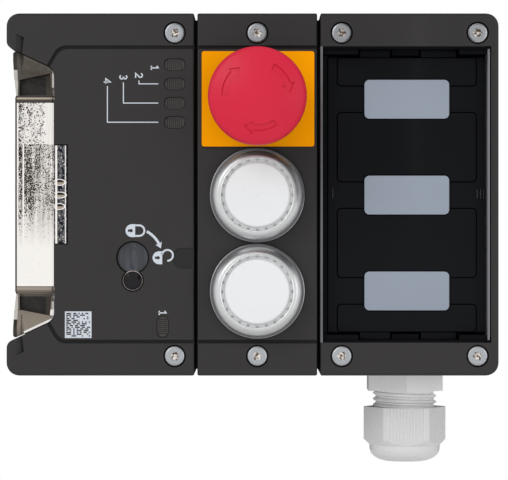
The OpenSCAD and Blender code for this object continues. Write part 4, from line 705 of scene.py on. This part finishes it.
# Push-buttons. A plastic bezel lacquered in satin silver holds a light grey carrier with its opal white lens,
# both pressed in by the finger. The lacquer shades softly round the bezel's curve; its low flange has a band
# of painted shade above a painted highlight at its foot. A bead of bright white metal on the inner lip stands
# in for the lip's highlight, a fine bright line round the lens.
level_flakes = 0.4
flange_h = 2.12 * MM
flange_edge_h = 1.96 * MM
lip_r = 12.02 * MM
bead_r = 0.16 * MM
bead_around = 96
bead_across = 10


def silver_lacquer():
    """The flakes lie level in the lacquer, so its shade turns more slowly than the crown does.
    Its low flange gets a band of painted shade above a painted highlight at its foot.
    """
    material = turned_metal("satin_silver_lacquer", "#d4d5d6", "#cacbcc", rough=0.4, scratch=0.35 * MM,
                            spread=0.05)
    tree = material.node_tree
    normal = add(tree, "NewGeometry", output="Normal")
    curved = add(tree, "VectorMath", {0: normal, "Scale": 1 - level_flakes}, operation="SCALE")
    level = add(tree, "VectorMath", (curved, (0.0, -level_flakes, 0.0)), operation="ADD")
    feed(tree, tree.nodes["Bump"], {"Normal": add(tree, "VectorMath", (level,), operation="NORMALIZE")})
    # Painted shade on a band of the low flange, and a painted highlight on the flange below it.
    paint_light_and_shade_below(material, -flange_h, "#666568", "#6e6d70", 1.5 * MM)
    paint_light_and_shade_below(material, -flange_edge_h, "#9b9a9d", "#939295", 1.5 * MM)
    return material


def lip_highlight_bead(name, bezel, material):
    """A bead of bright white metal on the bezel's inner lip, standing in for the highlight on its rounded
    edge.
    """
    low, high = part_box(bezel)
    centre = Vector(((low.x + high.x) / 2, low.y, (low.z + high.z) / 2))
    verts, faces = [], []
    for k in range(bead_around):
        turn = math.tau * k / bead_around
        first, after = k * bead_across, (k + 1) % bead_around * bead_across
        for i in range(bead_across):
            lift = math.tau * i / bead_across
            r = lip_r + bead_r * math.cos(lift)
            rise = bead_r * math.sin(lift)
            verts.append((centre.x + r * math.cos(turn), centre.y + rise, centre.z + r * math.sin(turn)))
            up = (i + 1) % bead_across
            faces.append((first + i, first + up, after + up, after + i))
    bead = mesh_piece(name, verts, faces, material, smooth=True)
    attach(bead, "housing")


satin = silver_lacquer()
opal = moulded("opal_white_polycarbonate", "#e9ebec", "#e3e5e7", 0.6 * MM, 0.004 * MM, rough=0.3,
               Specular_IOR_Level=0.3)
carrier_grey = moulded("light_grey_abs", "#e0e1e2", "#d8d9da", 0.6 * MM, 0.006 * MM, rough=0.4)
# A bright white metal for the bead, so that it shows as the lip's highlight.
polished = turned_metal("white_lip_highlight_metal", "#ffffff", "#f7f7f7", rough=0.3, scratch=0.3 * MM,
                        spread=0.05)
for button in ("button_upper", "button_lower"):
    dress(satin, button + "_bezel")
    dress(opal, button + "_lens")
    dress(carrier_grey, button + "_carrier")
    lip_highlight_bead(button + "_lip", button + "_bezel", polished)


# Label field. A black moulded panel with raised fields lies in the bus cover, held by snap hooks, and three
# plates cut from laminate clip on it. The panel is darker and smoother than the housing, with a soft gloss
# and a painted shadow line round each raised field; its hooks show as paler ridges, and the plates are plain
# grey.
island_h = 0.4 * MM
panel_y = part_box("label_panel")[0].y + island_h
field_w = 46.4 * MM
field_round = 1.4 * MM
field_margin = 2.4 * MM
channel_h = 8.8 * MM
shadow_in = 0.2 * MM
shadow_out = 0.15 * MM
rib_foot = 0.3 * MM
rib_h = 0.45 * MM

# Each rib's place across, lower end, upper end and width, in millimetres.
snap_ribs = [(26.68, -1.33, 2.17, 0.55), (74.95, -1.4, 1.94, 0.55), (76.08, -1.4, 1.94, 0.5),
             (77.05, -1.4, 1.94, 0.35)]

# How a rib rises: the share of its length, and the share of its height that it has there.
rib_rise = [(0.0, 0.0), (0.04, 0.55), (0.1, 0.85), (0.2, 1.0),
            (0.8, 1.0), (0.9, 0.85), (0.96, 0.55), (1.0, 0.0)]
rib_steps = 8


def shadow_lines(material):
    """Painted shadow: a black line round each raised field, where its edge falls off, with its shine damped.
    """
    tree = material.node_tree
    place = add(tree, "TexCoord", output="Object")
    flat = add(tree, "Mapping", {"Vector": place, "Scale": (1.0, 0.0, 1.0)})
    plates = [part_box("label_plate_" + name) for name in ("upper", "middle", "lower")]
    centres = [(low + high) / 2 for low, high in plates]
    edges = [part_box("label_panel")[1].z - field_margin]
    for centre in centres:
        edges += [centre.z + channel_h / 2, centre.z - channel_h / 2]
    edges.append(-edges[0])
    lines = 0.0
    for top, bottom in zip(edges[::2], edges[1::2]):
        middle = (centres[0].x, 0.0, (top + bottom) / 2)
        core = (field_w / 2 - field_round, 0.0, (top - bottom) / 2 - field_round)
        moved = add(tree, "VectorMath", (flat, middle), operation="SUBTRACT")
        folded = add(tree, "VectorMath", (moved,), operation="ABSOLUTE")
        past = add(tree, "VectorMath", (folded, core), operation="SUBTRACT")
        corner = add(tree, "VectorMath", (past, (0.0, 0.0, 0.0)), operation="MAXIMUM")
        away = add(tree, "VectorMath", (corner,), output="Value", operation="LENGTH")
        line = band(tree, away, field_round - shadow_in, field_round + shadow_out)
        lines = add(tree, "Math", (lines, line), operation="MAXIMUM")
    paint_over(material, (lines, "#020203"))
    shine = add(tree, "MapRange", {"Value": lines, "To Min": 0.1, "To Max": 0.0})
    feed(tree, tree.nodes["Principled BSDF"], {"Specular IOR Level": shine})


def snap_rib_mesh(ribs):
    """The paler backs of the snap hooks: round ribs that rise out of the panel and run out at both ends."""
    angles = [math.pi * k / rib_steps for k in range(rib_steps + 1)]
    arch = [(math.cos(a), math.sin(a)) for a in angles]
    verts, faces = [], []
    for x, z0, z1, width in ribs:
        first = len(verts)
        for share, rise in rib_rise:
            for across, up in arch:
                y = panel_y - rib_h * rise * up + rib_foot * (1 - up)
                verts.append(((x + across * width / 2) * MM, y, (z0 + share * (z1 - z0)) * MM))
        n = len(arch)
        last = first + (len(rib_rise) - 1) * n
        for row in range(first, last, n):
            for i in range(n):
                a, b = row + i, row + (i + 1) % n
                faces.append((a, a + n, b + n, b))
        faces.append(tuple(range(first, first + n)))
        faces.append(tuple(range(last + n - 1, last - 1, -1)))
    return verts, faces


panel = moulded("blue_black_abs", "#0c0e12", "#090a0e", 0.6 * MM, 0.006 * MM, rough=0.42,
                Specular_IOR_Level=0.1)
plate_grey = moulded("grey_label_laminate", "#949daa", "#8f98a5", 0.5 * MM, 0.004 * MM, rough=0.45,
                     Specular_IOR_Level=0.25)
pale_rib_abs = moulded("pale_black_abs", "#3c3d45", "#35363d", 0.4 * MM, 0.006 * MM, rough=0.4,
                     Specular_IOR_Level=0.15)
shadow_lines(panel)
dress(panel, "label_panel")
soften(edge_round, "label_panel")
dress(plate_grey, "label_plate_upper", "label_plate_middle", "label_plate_lower")
ribs_piece = mesh_piece("label_snap_ribs", *snap_rib_mesh(snap_ribs), pale_rib_abs, smooth=True)
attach(ribs_piece, "housing")


# Cable gland. Body, cap nut and lock nut are light grey polyamide, moulded with a coarse rounded thread, and
# a black rubber insert grips the cable. The nylon is smooth, with long soft lights down its flats. The body
# and its thread are painted paler than the nuts, against the shade of the housings above them.
thread_pitch = 2.0 * MM
thread_root = 9.8 * MM
thread_crest = 10.8 * MM
thread_sink = 0.1 * MM
thread_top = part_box("gland_cap")[1].z + 5.6 * MM
thread_turns = 3.4
thread_steps = 60
gland_axis = (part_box("gland_insert")[0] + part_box("gland_insert")[1]) / 2

# The thread's section: the share of its height, and the share of a pitch along the axis.
thread_section = [(0.0, 0.42), (0.75, 0.16), (1.0, 0.05), (1.0, -0.05), (0.75, -0.16), (0.0, -0.42)]


def thread_ridge(name, centre, material):
    """One rounded ridge that winds round the neck and dies out at both ends."""
    count = int(thread_turns * thread_steps)
    lead = thread_steps // 6
    verts = []
    for k in range(count + 1):
        angle = math.tau * k / thread_steps
        height = (thread_crest - thread_root) * min(1.0, k / lead, (count - k) / lead)
        for rise, along in thread_section:
            r = thread_root - thread_sink + (height + thread_sink) * rise
            z = thread_top - thread_pitch * (k / thread_steps) + thread_pitch * along
            verts.append((centre.x + r * math.cos(angle), centre.y + r * math.sin(angle), z))
    n = len(thread_section)
    faces = []
    for row in range(0, count * n, n):
        for i in range(n):
            a, b = row + i, row + (i + 1) % n
            faces.append((a, b, b + n, a + n))
    faces.append(tuple(range(n)))
    faces.append(tuple(range(count * n + n - 1, count * n - 1, -1)))
    return mesh_piece(name, verts, faces, material, smooth=True)


nylon = moulded("light_grey_polyamide", "#e0e0e0", "#dbdbdb", 0.8 * MM, 0.006 * MM, rough=0.3,
                Specular_IOR_Level=0.5)
# Painted light: the body and its thread are painted paler than the nuts, against the housing's shade on them.
nylon_painted_lighter = moulded("polyamide_painted_lighter", "#f4f4f4", "#efefef", 0.8 * MM, 0.006 * MM, rough=0.3,
                     Specular_IOR_Level=0.5)
insert = moulded("black_insert_rubber", "#2c2c2d", "#252526", 0.4 * MM, 0.01 * MM, rough=0.65)
dress(nylon, "gland_locknut", "gland_cap")
dress(nylon_painted_lighter, "gland_body")
dress(insert, "gland_insert")
thread = thread_ridge("gland_thread", gland_axis, nylon_painted_lighter)
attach(thread, "housing")


# Printed marks. White pad print on the lock cover, a few hundredths thick: leader lines to the windows, a
# closed and an open padlock with the turning arrow, numerals, and a square block pattern. The ink dries flat
# and matt, a cool white without a gloss. All outlines are in millimetres.
print_h = 0.03
line_w = 0.42
leader_w = 0.33
print_white = moulded("white_pad_print", "#cfd6de", "#c6cdd6", 0.5 * MM, 0.002 * MM, rough=0.55,
                      Specular_IOR_Level=0.2)


def arc(x, z, r, a0, a1, n=12):
    """Points on a round stretch, from one angle in degrees to another."""
    angles = [math.radians(a0 + (a1 - a0) * k / n) for k in range(n + 1)]
    return [(x + r * math.cos(a), z + r * math.sin(a)) for a in angles]


def ribbon(path, width):
    """The outline of a line of one width along a path, mitred at its corners."""
    left, right = [], []
    for i, point in enumerate(path):
        before = Vector(path[max(i - 1, 0)])
        after = Vector(path[min(i + 1, len(path) - 1)])
        here = Vector(point)
        steps = [v.normalized() for v in (here - before, after - here) if v.length > 0]
        along = sum(steps, Vector((0, 0))).normalized()
        side = Vector((-along.y, along.x)) * width / 2 / max(along.dot(steps[0]), 0.5)
        left.append(tuple(here + side))
        right.append(tuple(here - side))
    return left + right[::-1]


def print_mark(name, outlines):
    """Flat white print from outlines; an outline inside another is a hole in it."""
    curve = bpy.data.curves.new(name, "CURVE")
    curve.dimensions = "2D"
    curve.fill_mode = "BOTH"
    curve.extrude = print_h
    for outline in outlines:
        spline = curve.splines.new("POLY")
        spline.points.add(len(outline) - 1)
        for point, (x, z) in zip(spline.points, outline):
            point.co = (x, z, 0, 1)
        spline.use_cyclic_u = True
    shape = bpy.data.objects.new(name + "_outline", curve)
    bpy.context.scene.collection.objects.link(shape)
    bpy.context.view_layer.update()
    mesh = bpy.data.meshes.new_from_object(shape.evaluated_get(bpy.context.evaluated_depsgraph_get()))
    bpy.data.objects.remove(shape)
    upright = Matrix.Rotation(math.radians(90), 4, "X") @ Matrix.Scale(MM, 4)
    mesh.transform(Matrix.Translation((0, front_y, 0)) @ upright)
    form = bmesh.new()
    form.from_mesh(mesh)
    bmesh.ops.remove_doubles(form, verts=form.verts, dist=weld_distance)
    bmesh.ops.recalc_face_normals(form, faces=form.faces)
    form.to_mesh(mesh)
    form.free()
    mesh.materials.clear()
    mesh.materials.append(print_white)
    piece = bpy.data.objects.new(name, mesh)
    bpy.context.scene.collection.objects.link(piece)
    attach(piece, "housing")


# Leader lines: from each start straight up or down to its window's height, then across to the window.
leader_end = -31.2
leaders = [((-48.05, 35.9), 23.9), ((-42.75, 37.1), 30.25), ((-37.6, 37.7), 36.6)]
for number, ((x, z), window_z) in enumerate(leaders, 1):
    path = [(x, z), (x, window_z), (leader_end, window_z)]
    print_mark("print_leader_%d" % number, [ribbon(path, leader_w)])

# Numerals: the strokes of each in a box one unit high, and the places of the five on the cover.
numeral_h = 2.5
numeral_strokes = {
    "1": [[(0.1, 0.75), (0.36, 0.95), (0.36, 0.04)], [(0.08, 0.05), (0.64, 0.05)]],
    "2": [arc(0.32, 0.7, 0.26, 165, -35, 8) + [(0.04, 0.06), (0.64, 0.06)]],
    "3": [arc(0.3, 0.72, 0.24, 150, -80, 8) + arc(0.3, 0.28, 0.25, 80, -150, 8)],
    "4": [[(0.48, 0.02), (0.48, 0.94), (0.04, 0.3), (0.68, 0.3)]],
}
numeral_places = [
    ("print_window_1", "1", -33.6, 42.8), ("print_window_2", "2", -38.85, 40.2),
    ("print_window_3", "3", -44.0, 39.6), ("print_window_4", "4", -49.3, 38.4),
    ("print_slot_1", "1", -31.0, -38.3)]
for name, digit, x, z in numeral_places:
    for k, stroke in enumerate(numeral_strokes[digit]):
        # It reads downwards, with its top towards the joint.
        turned = [(x + v * numeral_h, z - u * numeral_h) for u, v in stroke]
        print_mark("%s_%d" % (name, k), [ribbon(turned, line_w)])

padlock_half = 2.15
padlock_right = 1.05
keyhole_r = 0.58
keyhole_x = -0.32
keyhole_foot_x = -1.35
keyhole_foot_half = 0.55


def padlock_body(x, z):
    """Half round at the left and square at the right, with the keyhole left bare."""
    right, foot = x + padlock_right, x + keyhole_foot_x
    body = arc(x, z, padlock_half, 90, 270, n=14) + [(right, z - padlock_half), (right, z + padlock_half)]
    keyhole = arc(x + keyhole_x, z, keyhole_r, 150, -150, n=10)
    return [body, keyhole + [(foot, z - keyhole_foot_half), (foot, z + keyhole_foot_half)]]


closed_x, closed_z = -39.9, -11.97
open_x, open_z = -30.95, -20.95
shackle_r = 1.75
shackle_foot = closed_x + 1.0
shackle_bend = closed_x + 2.35
shackle_w = 0.62
open_bend_x, open_bend_z, open_bend_r = -28.16, -20.15, 1.8
open_shackle_w = 0.6
closed_shackle = arc(shackle_bend, closed_z, shackle_r, 90, -90, n=14)
closed_shackle.insert(0, (shackle_foot, closed_z + shackle_r))
closed_shackle.append((shackle_foot, closed_z - shackle_r))
open_shackle = arc(open_bend_x, open_bend_z, open_bend_r, 172, -92, n=18)
print_mark("print_padlock_closed", padlock_body(closed_x, closed_z))
print_mark("print_shackle_closed", [ribbon(closed_shackle, shackle_w)])
print_mark("print_padlock_open", padlock_body(open_x, open_z))
print_mark("print_shackle_open", [ribbon(open_shackle, open_shackle_w)])

# The turning arrow runs round the rotor's axis; its angles are in degrees.
rotor_low, rotor_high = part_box("release_rotor")
rotor_x = (rotor_low.x + rotor_high.x) / 2 / MM
rotor_z = (rotor_low.z + rotor_high.z) / 2 / MM
arrow_r = 9.85
arrow_w = 0.85
arrow_start, arrow_stop = 61.5, 28
barb_angle, barb_reach = 29, 1.15
tip_angle = 18
shaft = ribbon(arc(rotor_x, rotor_z, arrow_r, arrow_start, arrow_stop), arrow_w)
half = len(shaft) // 2
head = [(arrow_r + barb_reach, barb_angle), (arrow_r, tip_angle), (arrow_r - barb_reach, barb_angle)]
head = [arc(rotor_x, rotor_z, r, angle, angle, n=1)[0] for r, angle in head]
print_mark("print_turn_arrow", [shaft[:half] + head + shaft[half:]])

# The block pattern: rows of bare blocks of one to three cells in a printed square, in a seeded random order.
pattern_x = -62.1
pattern_z = -47.5
pattern_side = 8.8
pattern_margin = 0.4
cells = 14
cell = (pattern_side - 2 * pattern_margin) / cells
block_gap_x = 0.08
block_gap_z = 0.12
block_h = 0.76
bare_share = 0.8
random.seed(7)
blocks = []
for row in range(cells):
    z0 = pattern_z + pattern_margin + (row + block_gap_z) * cell
    z1 = z0 + block_h * cell
    column = 0
    while column < cells:
        length = min(random.choice([1, 1, 2, 3]), cells - column)
        x0 = pattern_x + pattern_margin + (column + block_gap_x) * cell
        x1 = pattern_x + pattern_margin + (column + length - block_gap_x) * cell
        if random.random() < bare_share:
            blocks.append([(x0, z0), (x1, z0), (x1, z1), (x0, z1)])
        column += length + 1
right, top = pattern_x + pattern_side, pattern_z + pattern_side
square = [(pattern_x, pattern_z), (right, pattern_z), (right, top), (pattern_x, top)]
print_mark("print_block_pattern", [square] + blocks)
